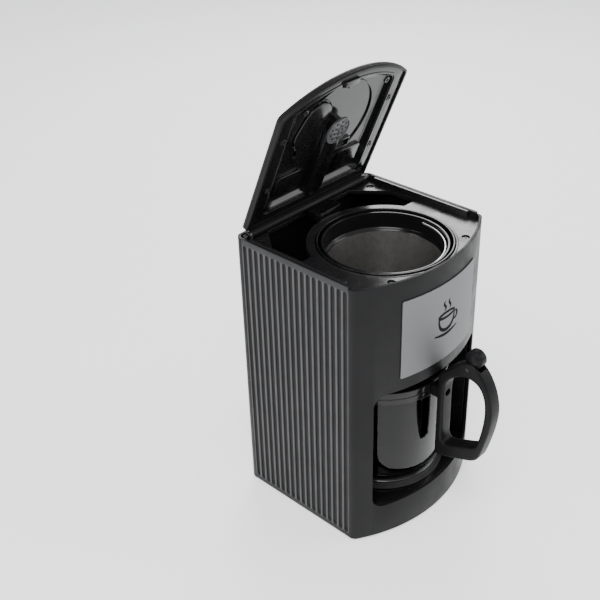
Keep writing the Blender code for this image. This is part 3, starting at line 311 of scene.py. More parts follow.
def ribbed_material():
    """The side panels: dark flutes between rib tops painted lighter as a highlight."""
    n = surface("ribbed_look", CHARCOAL, 0.45, grain=(1500.0, 0.00003), wear=0.3, specular=0.2)
    parts = n.add('ShaderNodeSeparateXYZ', {0: n.place})
    x, _, z = parts.outputs
    # painted highlight: the panel's outer face (rib tops and border strips) is painted lighter, off at
    # its foot and fading near its top
    top = n.spread(n.math('ABSOLUTE', x), 0.0890, 0.0897, 0.0, 1.0)
    low = n.spread(z, 0.006, 0.009, 0.0, 1.0)
    high = n.spread(z, 0.2735, 0.2765, 1.0, 0.25)
    light = n.math('MULTIPLY', n.math('MULTIPLY', top, low), high, clamp=True)
    # the painted highlight's strength varies in patches
    wear_and_highlight_patches = n.spread(n.noise(70.0, 4.0), 0.3, 0.7, 0.8, 1.0)
    under = n.shader.inputs["Base Color"].links[0].from_socket
    n.link(n.mix(n.math('MULTIPLY', light, wear_and_highlight_patches), under, RIB_PAINTED_HIGHLIGHT), "Base Color")
    return n.material


RIBBED = ribbed_material()
DECK_LOOK = surface("deck_look", CHARCOAL, 0.27, grain=(1100.0, 0.00002), wear=0.4,
                    specular=0.5).material
SLOT_OF = {row["node"]: row["material_slot"] for row in frame["record"]["subparts"]}
BODY_OF = {node: body for body, nodes in frame["record"]["behaviour"]["bodies"].items()
           for node in nodes}
DARK_METAL = surface("dark_metal_look", (0.05, 0.05, 0.052), 0.38, 1.0, grain=(700.0, 0.00002),
                     wear_colour=(0.3, 0.3, 0.3), edge=0.0003).material
HANDLE_LOOK = surface("handle_look", BLACK, 0.42, grain=(1300.0, 0.00003), wear=0.3,
                      specular=0.11).material
INK_LOOK = surface("ink_look", (0.003, 0.003, 0.003), 0.7, grain=(2000.0, 0.00001), wear=0.1,
                   edge=0.0001, specular=0.08).material
LOOK_OF_NODE = {"lid_hinge_pin_left": DARK_METAL, "lid_hinge_pin_right": DARK_METAL,
                "lever_pin": DARK_METAL, "spout": LOOKS["gloss_black_plastic"]}


def dress_cad():
    """Every CAD node that stays in view gets the detailed material of its slot."""
    for node, obj in frame["nodes"].items():
        obj.data.materials.clear()
        obj.data.materials.append(LOOK_OF_NODE.get(node, LOOKS[SLOT_OF[node]]))


# ---- shapes
def finish_piece(name, mesh, node, sharp=38.0, look=None, replaced=True):
    """Link a piece, dress it, and let it ride and stand for its CAD node."""
    obj = linked(name, mesh)
    mesh.materials.clear()
    mesh.materials.append(look or LOOKS[SLOT_OF[node]])
    mesh.shade_smooth()
    mesh.set_sharp_from_angle(angle=math.radians(sharp))
    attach(obj, BODY_OF[node])
    if replaced:
        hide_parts(node)
    return obj


def arc(cx, cy, radius, start, end, steps):
    return [(cx + radius * math.cos(math.radians(start + (end - start) * i / steps)),
             cy + radius * math.sin(math.radians(start + (end - start) * i / steps)))
            for i in range(steps + 1)]


def mirrored(points):
    """The points from the last to the first, on the other side of the middle."""
    return [(-x, y) for x, y in reversed(points)]


def circle(cx, cy, radius, steps=64):
    return arc(cx, cy, radius, 0, 360, steps)[:-1]


def rounded_rect(cu, cv, half_u, half_v, radius, steps=8):
    out = []
    for k, (su, sv) in enumerate(((1, 1), (-1, 1), (-1, -1), (1, -1))):
        out += arc(cu + su * (half_u - radius), cv + sv * (half_v - radius), radius,
                   90 * k, 90 * k + 90, steps)
    return out


def capsule(start, end, radius, steps=12):
    angle = math.degrees(math.atan2(end[1] - start[1], end[0] - start[0]))
    return (arc(*start, radius, angle + 90, angle + 270, steps)
            + arc(*end, radius, angle - 90, angle + 90, steps))


def arc_slot(cx, cy, radius, half_width, start, end, steps=12):
    return (arc(cx, cy, radius + half_width, start, end, steps)
            + arc(cx, cy, radius - half_width, end, start, steps))


def fillet(points, radius, closed=False, steps=4):
    """Round the corners of a polyline."""
    out = []
    count = len(points)
    for i, point in enumerate(points):
        if not closed and i in (0, count - 1):
            out.append(point)
            continue
        p = Vector(point)
        a = Vector(points[i - 1]) - p
        b = Vector(points[(i + 1) % count]) - p
        if a.length < 1e-6 or b.length < 1e-6:
            continue
        bend = a.normalized().dot(b.normalized())
        if bend < -0.96:
            out.append(point)
            continue
        reach = min(radius, a.length * 0.45, b.length * 0.45)
        first = p + a.normalized() * reach
        last = p + b.normalized() * reach
        for k in range(steps + 1):
            t = k / steps
            q = first * (1 - t) ** 2 + p * 2 * t * (1 - t) + last * t ** 2
            out.append((q.x, q.y))
    return out


def applied(obj):
    """The object's mesh with its modifiers in it."""
    bpy.context.view_layer.update()
    return bpy.data.meshes.new_from_object(obj.evaluated_get(bpy.context.evaluated_depsgraph_get()))


def curve_mesh(curve):
    holder = linked("holder", curve)
    mesh = applied(holder)
    bpy.data.objects.remove(holder, do_unlink=True)
    bpy.data.curves.remove(curve)
    return mesh


def closed_mesh(name, work):
    """The finished mesh of a closed bmesh, with its faces turned outwards."""
    bmesh.ops.recalc_face_normals(work, faces=work.faces)
    mesh = bpy.data.meshes.new(name)
    work.to_mesh(mesh)
    work.free()
    return mesh


def spun_mesh(name, profile, centre=(0, BREW_Y, 0), steps=96, axis='Z', rounding=0.5):
    """A turned mesh from (radius, height) points down its outer side."""
    ring = profile[0][0] > 0 and profile[-1][0] > 0
    points = fillet(profile, rounding, ring)
    work = bmesh.new()
    rings = []
    for radius, height in points:
        if radius < 1e-6:
            rings.append([work.verts.new((0, 0, height * MM))])
        else:
            rings.append([work.verts.new((x * MM, y * MM, height * MM))
                          for x, y in circle(0, 0, radius, steps)])
    pairs = list(zip(rings, rings[1:] + ([rings[0]] if ring else [])))
    if not ring:
        pairs = pairs[:len(rings) - 1]
    for high, low in pairs:
        for i in range(steps):
            j = (i + 1) % steps
            quad = [high[i % len(high)], low[i % len(low)], low[j % len(low)], high[j % len(high)]]
            corners = list(dict.fromkeys(quad))
            if len(corners) > 2:
                work.faces.new(corners)
    turn = {'Z': Matrix.Identity(4), 'X': Matrix.Rotation(math.pi / 2, 4, 'Y'),
            'Y': Matrix.Rotation(-math.pi / 2, 4, 'X')}[axis]
    mesh = closed_mesh(name, work)
    mesh.transform(Matrix.Translation(Vector(centre) * MM) @ turn)
    return mesh


def plate_mesh(name, loops, low, high, axis='Z', bevel=0.5, segments=2):
    """A flat outline with holes, extruded along an axis, with rounded rims."""
    curve = bpy.data.curves.new(name, 'CURVE')
    curve.dimensions = '2D'
    curve.fill_mode = 'BOTH'
    curve.extrude = ((high - low) / 2 - bevel) * MM
    curve.bevel_depth = bevel * MM
    curve.bevel_resolution = segments
    curve.offset = -bevel * MM
    for loop in loops:
        spline = curve.splines.new('POLY')
        spline.points.add(len(loop) - 1)
        for point, (u, v) in zip(spline.points, loop):
            point.co = (u * MM, v * MM, 0.0, 1.0)
        spline.use_cyclic_u = True
    mesh = curve_mesh(curve)
    middle = (low + high) * MM / 2
    turns = {'Z': Matrix.Translation((0, 0, middle)),
             'Y': Matrix.Translation((0, middle, 0)) @ Matrix.Rotation(math.pi / 2, 4, 'X'),
             'X': Matrix.Translation((middle, 0, 0)) @ Matrix.Rotation(math.pi / 2, 4, 'Z')
                  @ Matrix.Rotation(math.pi / 2, 4, 'X')}
    mesh.transform(turns[axis])
    work = bmesh.new()
    work.from_mesh(mesh)
    bmesh.ops.remove_doubles(work, verts=work.verts, dist=0.000004)
    return closed_mesh(name, work)


def cutter(loops, low, high, axis='Z'):
    """A sharp plate to take away in combined()."""
    return plate_mesh("cutter", loops, low, high, axis, THIN, 0), 'DIFFERENCE'


def combined(mesh, tools, rounding=0.0, segments=2):
    """A mesh after cutting or joining with other meshes, with softened edges."""
    base = linked("work_base", mesh)
    made = [base]
    for tool_mesh, operation in tools:
        tool = linked("work_tool", tool_mesh)
        made.append(tool)
        step = base.modifiers.new("cut", 'BOOLEAN')
        step.operation = operation
        step.solver = 'EXACT'
        step.object = tool
    if rounding:
        bevel = base.modifiers.new("edges", 'BEVEL')
        bevel.width = rounding * MM
        bevel.segments = segments
        bevel.limit_method = 'ANGLE'
        bevel.angle_limit = math.radians(40)
        bevel.use_clamp_overlap = True
    out = applied(base)
    for obj in made:
        bpy.data.objects.remove(obj, do_unlink=True)
    return out


# ---- body
def fluted_panel(node, side):
    """A side panel whose flutes have round ends, flat floors and soft lips."""
    low, high = span(node)
    count, width, depth, z0, z1 = 18, 4.8, 1.8, 7.0, 275.5
    pitch = (high.y - low.y) / count
    radius = width / 2
    ends = [i * 0.5 for i in range(21)]
    levels = [low.z, low.z + 1.0, low.z + 3.0, z0 - 1.4] + [z0 - 0.8 + e for e in ends]
    upper = [z1 + 0.8 - e for e in reversed(ends)]
    levels = sorted(set(levels + [30, 80, 140, 200, 250] + upper
                        + [z1 + 1.6, high.z - 2.0, high.z - 0.8, high.z]))
    offsets = [-3.5, -3.05, -2.7, -2.45, -2.25, -2.0, -1.6, -0.8, 0.8, 1.6, 2.0, 2.25, 2.45, 2.7,
               3.05]
    columns = [low.y + (i + 0.5) * pitch + o * pitch / 7.0 for i in range(count) for o in offsets]
    columns.append(high.y)
    hole = None
    if node == "side_panel_right":
        bezel_low, bezel_high = span("switch_bezel")
        hole = (bezel_low.y - 0.3, bezel_high.y + 0.3, bezel_low.z - 0.3, bezel_high.z + 0.3)
    work = bmesh.new()
    grid = []
    for y in columns:
        place = min(max((y - low.y) / pitch, 0), count - 1e-6)
        centre = low.y + (int(place) + 0.5) * pitch
        row = []
        for z in levels:
            dz = max(z0 + radius - z, z - (z1 - radius), 0.0)
            reach = math.hypot(y - centre, dz)
            t = min(max((radius + 0.25 - reach) / 0.75, 0.0), 1.0)
            drop = depth * t * t * (3 - 2 * t)
            lip = 0.25 * sum(min(max(1 - gap / 0.9, 0), 1) for gap in (high.z - z, z - low.z))
            row.append(work.verts.new((side * (HALF_W - drop - lip) * MM, y * MM, z * MM)))
        grid.append(row)
    inner = side * (HALF_W - 3.4)
    back = [[work.verts.new((inner * MM, y * MM, z * MM)) for z in (levels[0], levels[-1])]
            for y in (columns[0], columns[-1])]
    for a, b in zip(grid, grid[1:]):
        for k in range(len(levels) - 1):
            work.faces.new((a[k], b[k], b[k + 1], a[k + 1]))
    work.faces.new([row[0] for row in grid] + [back[1][0], back[0][0]])
    work.faces.new([row[-1] for row in reversed(grid)] + [back[0][1], back[1][1]])
    work.faces.new(grid[0] + [back[0][1], back[0][0]])
    work.faces.new(list(reversed(grid[-1])) + [back[1][0], back[1][1]])
    work.faces.new((back[0][0], back[0][1], back[1][1], back[1][0]))
    mesh = closed_mesh(node + "_fluted", work)
    if hole:
        y0, y1, low_z, high_z = hole
        loop = rounded_rect((y0 + y1) / 2, (low_z + high_z) / 2, (y1 - y0) / 2,
                            (high_z - low_z) / 2, 3)
        mesh = combined(mesh, [cutter([loop], 80, 95, 'X')])
    finish_piece(node + "_fluted", mesh, node, 60.0, RIBBED)


def bowed_front(half_w, front_y, bow, corner, inset, steps=90, corner_steps=10):
    """The bowed front of the plan from its left side to its right, moved inwards by inset."""
    radius = (half_w ** 2 + bow ** 2) / (2 * bow)
    centre_y = front_y + radius
    cx = half_w - corner
    cy = centre_y - math.sqrt((radius - corner) ** 2 - cx ** 2)
    turn = math.degrees(math.atan2(cy - centre_y, -cx)) % 360
    left = arc(-cx, cy, corner - inset, 180, turn, corner_steps)
    middle = arc(0, centre_y, radius - inset, turn, 540 - turn, steps)[1:-1]
    return left + middle + mirrored(left)


def front_cover():
    low, high = span("front_cover")
    back_y = high.y
    outer = [(-HALF_W, back_y)] + bowed_front(HALF_W, FRONT_Y, BOW, CORNER_R, 0) + [(HALF_W, back_y)]
    inner = bowed_front(HALF_W, FRONT_Y, BOW, CORNER_R, COVER_T)
    inner = [(-HALF_W + COVER_T, back_y)] + inner + [(HALF_W - COVER_T, back_y)]
    mesh = plate_mesh("front_cover_bowed", [outer + inner[::-1]], low.z, high.z, 'Z', THIN, 0)
    window = cutter([rounded_rect(0, 101.5, 73.5, 65.5, 12, 12)], -75, -15.7, 'Y')
    mesh = combined(mesh, [window], 0.9, 3)
    finish_piece("front_cover_bowed", mesh, "front_cover", 50.0)


def round_parts():
    """Finer turned pieces for the CAD's coarse ones; each keeps its CAD piece's size."""
    finish_piece("warming_plate_disc", spun_mesh("warming_plate_disc", [
        (0, 42.5), (30, 42.5), (31, 42.3), (32, 42.5), (51, 42.5), (53.6, 42.3), (56, 41.1), (56, 39.5),
        (54.6, 39.5), (54, 40.9), (0, 40.9)]), "warming_plate")
    finish_piece("plate_seal", spun_mesh("plate_seal", [
        (60.5, 37.3), (60.5, 35.8), (54.5, 35.8), (54.5, 39.3), (56.8, 39.3), (56.8, 37.3)],
        rounding=0.3), "plate_seal_ring")
    finish_piece("basket_cone", spun_mesh("basket_cone", [
        (62, 276.4), (62, 254.5), (16.2, 166), (5.2, 166), (5.2, 168), (14.9, 168), (60.1, 255.3),
        (60.1, 276.4)], rounding=0.7), "filter_basket")
    finish_piece("drip_valve_knob", spun_mesh("drip_valve_knob", [
        (0, 171.4), (7.0, 171.4), (8.0, 170.6), (8.0, 169.5), (4.5, 169.5), (4.5, 161.8), (9.6, 161.8),
        (10.7, 160.4), (10.7, 156.8), (8.5, 154.6), (5.0, 153.8), (0, 153.8)], steps=48), "drip_valve")
    finish_piece("jug_glass", spun_mesh("jug_glass", [
        (0, 45.6), (47.4, 45.3), (52.6, 47.8), (56.0, 52.2), (58.0, 62.5), (58.3, 104), (58.1, 131),
        (57.1, 138.6), (54.9, 145.4), (54.4, 150), (56.4, 150), (57.0, 146), (59.3, 139), (60.3, 131),
        (60.5, 104), (60.2, 62), (58.0, 51), (54.0, 46), (48.0, 43.2), (0, 43.4)],
        steps=128, rounding=2.2), "carafe_glass", 60.0)
    finish_piece("jug_band", spun_mesh("jug_band", [
        (62.6, 151.2), (62.6, 145.5), (62.2, 145.2), (62.2, 144.6), (62.6, 144.3), (62.6, 138.5),
        (61.0, 138.5), (60.8, 150.3), (55.4, 150.3), (55.4, 151.8), (61.8, 151.8)], rounding=0.4),
        "carafe_band")


# ---- lid
LID_HALF_W = 80.5
LID_FRONT_Y = -47.5
LID_BOW = 24.0
LID_NOTCH_Y = 103.2
LID_REAR_HALF_W = 76.2
STEAM_SLOTS = ((264, 288), (150, 174))


def opened(mesh):
    """Swing a lid piece from where it is closed to where it stands at rest."""
    hinge = joint("lid_hinge")
    place = Matrix.Translation(Vector(hinge["pos_m"]))
    turn = Matrix.Rotation(math.radians(hinge["range_deg"][0]), 4, 'X')
    mesh.transform(place @ turn @ place.inverted())
    return mesh


def lofted_mesh(name, sections):
    """A closed solid through level outlines that have the same number of points."""
    work = bmesh.new()
    rings = [[work.verts.new((x * MM, y * MM, z * MM)) for x, y in outline]
             for outline, z in sections]
    for low, high in zip(rings, rings[1:]):
        for i, vert in enumerate(low):
            j = (i + 1) % len(low)
            work.faces.new((vert, low[j], high[j], high[i]))
    work.faces.new(rings[0][::-1])
    work.faces.new(rings[-1])
    return closed_mesh(name, work)


def lid_front(side, front, corner):
    half = LID_HALF_W - side
    bow = LID_BOW * (half / LID_HALF_W) ** 2
    return bowed_front(half, LID_FRONT_Y + front, bow, corner, 0, 60, 8)


def lid_plan(inset, rear):
    notch_y = LID_NOTCH_Y - inset
    right = [(LID_HALF_W - inset, notch_y), (LID_REAR_HALF_W - inset, notch_y),
             (LID_REAR_HALF_W - inset, rear - inset)]
    return lid_front(inset, inset, 7.0) + right + mirrored(right)


def pan_plan(side, front, rear):
    corner = 9.0
    right = arc(LID_HALF_W - side - corner, rear - corner, corner, 0, 90, 8)
    return lid_front(side, front, corner) + right + mirrored(right)


def steam_slots():
    return cutter([arc_slot(0, BREW_Y, 44.5, 2.0, start, end) for start, end in STEAM_SLOTS],
                  275.0, 296.0)


def lid_shell():
    """The lid's outer tray: a skirt with a shadow groove and a low crown."""
    crown = ((0.25, 281.3), (0.0, 281.6), (0.0, 283.9), (0.3, 284.1), (0.3, 284.6), (0.0, 284.8),
             (0.0, 286.1), (0.15, 286.8), (0.7, 287.7), (1.3, 288.2), (2.1, 288.5), (9.0, 290.9),
             (15.0, 292.7), (17.0, 293.0))
    mesh = lofted_mesh("lid_tray", [(lid_plan(inset, 105.2), z) for inset, z in crown])
    axis = [v / MM for v in joint("lid_hinge")["pos_m"]]
    barrel = spun_mesh("barrel", [(0, 76.0), (3.7, 76.0), (3.7, -76.0), (0, -76.0)], axis, 48, 'X', 0.4)
    hollow = lofted_mesh("hollow", [(lid_plan(inset, 103.4), z)
                                    for inset, z in ((2.4, 279.3), (2.4, 285.9), (16.5, 290.4))])
    mesh = combined(mesh, [(barrel, 'UNION'), (hollow, 'DIFFERENCE'), steam_slots()])
    finish_piece("lid_tray", opened(mesh), "lid_shell", 50.0)


def lid_inner():
    """The plate inside the lid, a pan with its lip, water channel, oval, ring, pads and catch."""
    rear = 100.3
    half = LID_HALF_W - 2.7
    outline = lid_front(2.7, 2.7, 7.0) + [(half, rear), (-half, rear)]
    mesh = plate_mesh("lid_pan", [outline], 282.4, 284.0, 'Z', 0.2, 1)
    pan = [(pan_plan(17.0, 8.5, 88.0), 282.8), (pan_plan(21.0, 12.0, 85.0), 288.4)]
    hollow = [(pan_plan(18.3, 9.8, 86.8), 281.9), (pan_plan(18.9, 10.4, 86.2), 282.8),
              (pan_plan(21.9, 13.0, 84.0), 286.3), (pan_plan(22.9, 13.9, 83.1), 286.8)]
    steps = [(lofted_mesh("pan", pan), 'UNION'), (lofted_mesh("pan_hollow", hollow), 'DIFFERENCE')]
    solids = {
        "lip": ([pan_plan(15.6, 7.6, 89.4), pan_plan(17.6, 9.2, 87.5)[::-1]], 281.7, 282.9, 0.3),
        "channel": ([capsule((0, 85), (0, BREW_Y), 10.5)], 280.4, 287.2, 0.8),
        "ring": ([circle(0, BREW_Y, 48.6, 96), circle(0, BREW_Y, 47.4, 96)[::-1]], 285.4, 287.8, 0.25),
        "oval": ([capsule((-29, -5), (-34, 9), 17.0, 20)], 283.4, 287.8, 1.2),
        "oval_rim": ([capsule((-29, -5), (-34, 9), 19.0, 20), capsule((-29, -5), (-34, 9), 18.2, 20)],
                     285.6, 287.8, 0.2),
        "left_pad": ([rounded_rect(-40, 66, 15, 12, 4)], 284.2, 287.8, 0.6),
        "right_pad": ([rounded_rect(40, 66, 15, 12, 4)], 284.2, 287.8, 0.6),
        "loop": ([rounded_rect(24, 44, 10, 5.5, 1.5), rounded_rect(24, 44, 8.6, 4.1, 0.8)],
                 284.6, 287.8, 0.25),
        "catch": ([rounded_rect(-3, -38.6, 9, 3.0, 1.0)], 279.4, 285.0, 0.5),
        "catch_rib": ([rounded_rect(-3, -34.0, 1.2, 3.0, 0.5)], 280.6, 287.2, 0.2),
        "cross_rib": ([rounded_rect(0, 91.5, 62, 0.8, 0.6)], 281.0, 283.0, 0.2),
    }
    for name, (loops, low, high, bevel) in solids.items():
        steps.append((plate_mesh(name, loops, low, high, 'Z', bevel, 2), 'UNION'))
    for x, y in ((-68, 60), (68, 60), (-68, 4), (68, 4), (-52, -22), (52, -22)):
        boss = spun_mesh("boss", [(0, 283), (3.2, 283), (3.0, 281.4), (1.6, 281.2), (1.4, 282.0),
                                  (0, 282.0)], (x, y, 0), 24, 'Z', 0.2)
        steps.append((boss, 'UNION'))
    steps.append(steam_slots())
    steps.append((spun_mesh("port", [(0, 282.6), (4.5, 282.6), (4.5, 278), (0, 278)], (0, 90, 0), 40),
                  'DIFFERENCE'))
    mesh = combined(mesh, steps)
    finish_piece("lid_pan", opened(mesh), "lid_inner_plate", 40.0)


def shower_head():
    """The perforated disc with a raised rim and two rings of drip holes."""
    loops = [circle(0, BREW_Y, 14.0, 64), circle(0, BREW_Y, 1.1, 16)]
    for ring_r, count in ((5.0, 5), (9.5, 9)):
        for i in range(count):
            turn = 2 * math.pi * i / count
            loops.append(circle(ring_r * math.cos(turn), BREW_Y + ring_r * math.sin(turn), 1.1, 16))
    disc = plate_mesh("shower_disc", loops, 278.2, 280.1, 'Z', 0.2, 1)
    rim = plate_mesh("rim", [circle(0, BREW_Y, 14.0, 64), circle(0, BREW_Y, 12.6, 64)], 277.8, 279.0,
                     'Z', 0.15, 1)
    finish_piece("shower_disc", opened(combined(disc, [(rim, 'UNION')])), "shower_head")


# ---- deck
def inner_plan(inset):
    """The room inside the covers."""
    side = HALF_W - 3.7
    right = arc(HALF_W - CORNER_R, REAR_Y - CORNER_R, CORNER_R - COVER_T - inset, 0, 90, 8)
    rear = right + mirrored(right)
    points = bowed_front(HALF_W, FRONT_Y, BOW, CORNER_R, COVER_T + inset) + rear
    return [(max(-side, min(side, x)), y) for x, y in points]


def top_deck():
    """The deck with its tank mouth, side rails and ears, and the round seat with its cone."""
    low, high = 271.0, 275.0
    mouth_r, half, front = 70.6, 81.0, 44.0
    start = math.degrees(math.atan2(front - BREW_Y, -math.sqrt(mouth_r ** 2 - (front - BREW_Y) ** 2)))
    mouth = [(-half, front)] + arc(0, BREW_Y, mouth_r, start, 180 - start, 48)
    mouth += [(half, front), (half, 74), (56, 106), (-56, 106), (-half, 74)]
    deck = plate_mesh("deck", [inner_plan(0.3), circle(0, BREW_Y, 63.65, 128), mouth],
                      low, high, 'Z', THIN, 0)
    well = spun_mesh("well", [
        (64.6, 275.4), (64.6, 249.5), (63.0, 247), (24.5, 172.3), (22.5, 172.3), (60.55, 247.6),
        (60.05, 249.4), (60.05, 250.4), (62.7, 250.4), (62.7, 275.4)], steps=128, rounding=0.4)
    steps = [(well, 'UNION')]
    axis = [v / MM for v in joint("lid_hinge")["pos_m"]]
    for sign in (-1, 1):
        outer = sign * 86.15
        rail = plate_mesh("rail", [rounded_rect(outer - sign * 1.5, 42, 1.5, 56, 0.6)],
                          low + 1, 281.0, 'Z', 0.4, 2)
        steps.append((rail, 'UNION'))
        ear = [(axis[1] - 3.6, low + 0.6), (axis[1] + 3.6, low + 0.6)]
        ear += arc(axis[1], axis[2], 3.6, 0, 180, 16)
        x0, x1 = sorted((sign * 76.5, sign * 80.5))
        steps.append((plate_mesh("ear", [ear, circle(axis[1], axis[2], 2.15, 24)], x0, x1, 'X', 0.3, 1),
                      'UNION'))
    for x, y in ((-52, -35.5), (52, -35.5), (-75.5, 96), (75.5, 96)):
        hole = spun_mesh("hole", [(0, 276), (3.7, 276), (3.7, 272), (1.7, 272), (1.7, 270), (0, 270)],
                         (x, y, 0), 32, 'Z', 0.05)
        steps.append((hole, 'DIFFERENCE'))
    finish_piece("deck", combined(deck, steps), "top_deck", 40.0, DECK_LOOK)


def tube_mesh(name, points, radius, resolution=5):
    """A round bar along a list of points."""
    curve = bpy.data.curves.new(name, 'CURVE')
    curve.dimensions = '3D'
    curve.bevel_depth = radius * MM
    curve.bevel_resolution = resolution
    curve.use_fill_caps = True
    spline = curve.splines.new('POLY')
    spline.points.add(len(points) - 1)
    for point, place in zip(spline.points, points):
        point.co = (*(Vector(place) * MM), 1.0)
    return curve_mesh(curve)


# ---- brewing parts
def filter_frame():
    """The mesh filter's frame: a rim with a step and beads, ribs and windows."""
    profile = [(55.6, 274.6), (57.5, 274.6), (57.3, 270), (57.0, 268.6), (56.3, 259.0), (54.5, 257.5),
               (17, 184), (0, 184)]
    inside = [(0, 185.8), (16.1, 185.8), (52.7, 257.5), (55.0, 259.5)]
    frame_mesh = spun_mesh("filter_cone", inside + [(55.4, 268)] + profile, rounding=0.4)
    steps = []
    for low, high, half in ((222.5, 254.5, 42), (189.0, 218.5, 39)):
        loops = []
        for k in range(4):
            middle = 45 + 90 * k
            loops.append(arc(0, BREW_Y, 70, middle - half, middle + half, 24)
                         + arc(0, BREW_Y, 9, middle + half, middle - half, 8))
        steps.append(cutter(loops, low, high))
    steps.append((spun_mesh("pivots", [(0, 70), (1.4, 70), (1.4, -70), (0, -70)], (0, BREW_Y, 271.0),
                            20, 'X', 0.01), 'DIFFERENCE'))
    finish_piece("filter_cone", combined(frame_mesh, steps), "filter_frame", 40.0)
    screen = spun_mesh("filter_screen", [(52.1, 256.9), (16.3, 186.2), (15.8, 186.2), (51.6, 256.9)],
                       steps=128, rounding=0.05)
    finish_piece("filter_screen", screen, "filter_mesh", 40.0)


def filter_bail():
    """The wire bail, folded down inside the rim."""
    loop = arc(0, BREW_Y, 53.4, 184, 356, 64)
    ends = [(-57.2, BREW_Y), (-54.4, BREW_Y), (-53.6, BREW_Y - 0.8)]
    path = fillet(ends + loop + mirrored(ends), 1.2)
    mesh = tube_mesh("bail_wire", [(x, y, 271.0) for x, y in path], 1.1)
    finish_piece("bail_wire", mesh, "filter_bail", 50.0)


def valve_spring():
    """The coil under the basket."""
    turns, per_turn, radius, low, high, wire_r = 3, 28, 6.6, 162.5, 165.3, 0.35
    steps = turns * per_turn
    points = []
    for i in range(steps + 1):
        angle = 2 * math.pi * i / per_turn
        points.append((radius * math.cos(angle), BREW_Y + radius * math.sin(angle),
                       low + (high - low) * i / steps))
    piece = finish_piece("valve_coil", tube_mesh("valve_coil", points, wire_r, 2), "valve_spring", 60.0)
    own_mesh(piece)


# ---- carafe
HANDLE_OUTER = ((-55.4, 80), (-55.4, 100), (-55.4, 140), (-56.4, 165.5), (-63.5, 174), (-72, 182),
                (-80, 189.5), (-90, 191), (-101, 183), (-109.8, 168), (-114.13, 150), (-113, 131),
                (-109, 112), (-105.4, 98.5), (-102.8, 92.2), (-98, 87.6), (-90, 84), (-76, 79),
                (-64, 75), (-58.5, 74.6), (-55.9, 76.8))
HANDLE_INNER = ((-62.9, 97), (-62.8, 110), (-62.8, 150), (-66.5, 163), (-76, 171.8), (-87, 175.6),
                (-97.5, 173), (-104, 164), (-106.6, 151), (-106.2, 136), (-104, 121), (-101.3, 110),
                (-98.4, 105), (-93, 101.6), (-80, 96), (-70, 92.2), (-65.2, 92.3))


def smooth_loop(points, steps=10):
    """A closed Catmull-Rom curve through a few points."""
    out = []
    count = len(points)
    for i in range(count):
        p0, p1, p2, p3 = (Vector(points[(i + k) % count]) for k in (-1, 0, 1, 2))
        for j in range(steps):
            t = j / steps
            out.append(0.5 * ((2 * p1) + (p2 - p0) * t + (2 * p0 - 5 * p1 + 4 * p2 - p3) * t * t
                              + (3 * p1 - p0 - 3 * p2 + p3) * t ** 3))
    return [(p.x, p.y) for p in out]


def lever_bore():
    profile = [(0, 12), (2.15, 12), (2.15, -12), (0, -12)]
    return spun_mesh("bore", profile, (0, *LEVER_AXIS), 32, 'X', THIN), 'DIFFERENCE'


def carafe_handle():
    """The handle with full rounded sides, its block at the band, the lever's slot and its bores."""
    mesh = plate_mesh("jug_handle", [smooth_loop(HANDLE_OUTER), smooth_loop(HANDLE_INNER)],
                      -7.5, 7.5, 'X', 2.4, 5)
    block = plate_mesh("block", [rounded_rect(0, -53.3, 7.0, 4.7, 0.8)], 139.5, 150.8, 'Z', 0.4, 2)
    slot_outline = [(-50, 155.4), (-57.6, 160.6), (-66.5, 171.6), (-76, 179.3), (-98, 182.4),
                    (-98, 202), (-50, 202)]
    slot = cutter([slot_outline], -4.5, 4.5, 'X')
    driver = spun_mesh("driver", [(0, 16), (1.9, 16), (1.9, 7), (3.9, 7), (3.9, -5), (0, -5)],
                       (0, -62.8, 145.2), 32, 'Y', 0.01)
    mesh = combined(mesh, [(block, 'UNION'), slot, lever_bore(), (driver, 'DIFFERENCE')])
    finish_piece("jug_handle", mesh, "carafe_handle", 45.0, HANDLE_LOOK)


def thumb_lever():
    """The lever along the slot with its domed thumb pad."""
    arm = [(-41.5, 153.2), (-41.5, 155.6), (-49, 157.2), (-62, 172.0), (-70, 181.5), (-80, 188.0)]
    arm += arc(-90, 195.5, 8.6, -25, 245, 40)
    arm += [(-92, 183.6), (-86, 181.6), (-76, 180.3), (-66, 173.2), (-57.2, 161.9), (-53.5, 158.6),
            (-49, 153.4)]
    mesh = plate_mesh("jug_lever", [arm], -4.1, 4.1, 'X', 0.8, 3)
    pad = spun_mesh("pad", [(0, 6.4), (2.6, 6.2), (5.0, 5.4), (6.8, 4.0), (7.8, 2.2), (8.1, 0),
                            (7.8, -2.2), (6.8, -4.0), (5.0, -5.4), (2.6, -6.2), (0, -6.4)],
                    (0, -90, 195.5), 64, 'X', 0.9)
    finish_piece("jug_lever", combined(mesh, [(pad, 'UNION'), lever_bore()]), "thumb_lever", 60.0,
                 HANDLE_LOOK)


def carafe_lid():
    """The carafe's lid with its dish, drain and a raised bead round the rim."""
    mesh = spun_mesh("jug_lid", [
        (0, 152.9), (47.6, 152.9), (48.2, 152.4), (49.4, 152.4), (50.0, 152.9), (52.5, 152.9),
        (54.8, 151.9), (54.8, 150.6), (53.6, 150.6), (52.4, 144.5), (0, 144.5)], rounding=0.3)
    dish = plate_mesh("dish", [capsule((0, BREW_Y), (0, BREW_Y + 80), 16.0, 24)], 147.0, 157.0,
                      'Z', 0.4, 2)
    drain = spun_mesh("drain", [(0, 148), (6.0, 148), (6.0, 142), (0, 142)], steps=40, rounding=0.05)
    finish_piece("jug_lid", combined(mesh, [(dish, 'DIFFERENCE'), (drain, 'DIFFERENCE')]),
                 "carafe_lid", 40.0)


# ---- badge
BADGE_Z = (180.0, 259.0)
PEN = 2.0


def on_bow(u, z, depth):
    """A point on the bowed front, u millimetres round from its middle, out by depth."""
    angle = u / BOW_R
    radius = BOW_R + depth
    return (radius * math.sin(angle), FRONT_Y + BOW_R - radius * math.cos(angle), z)


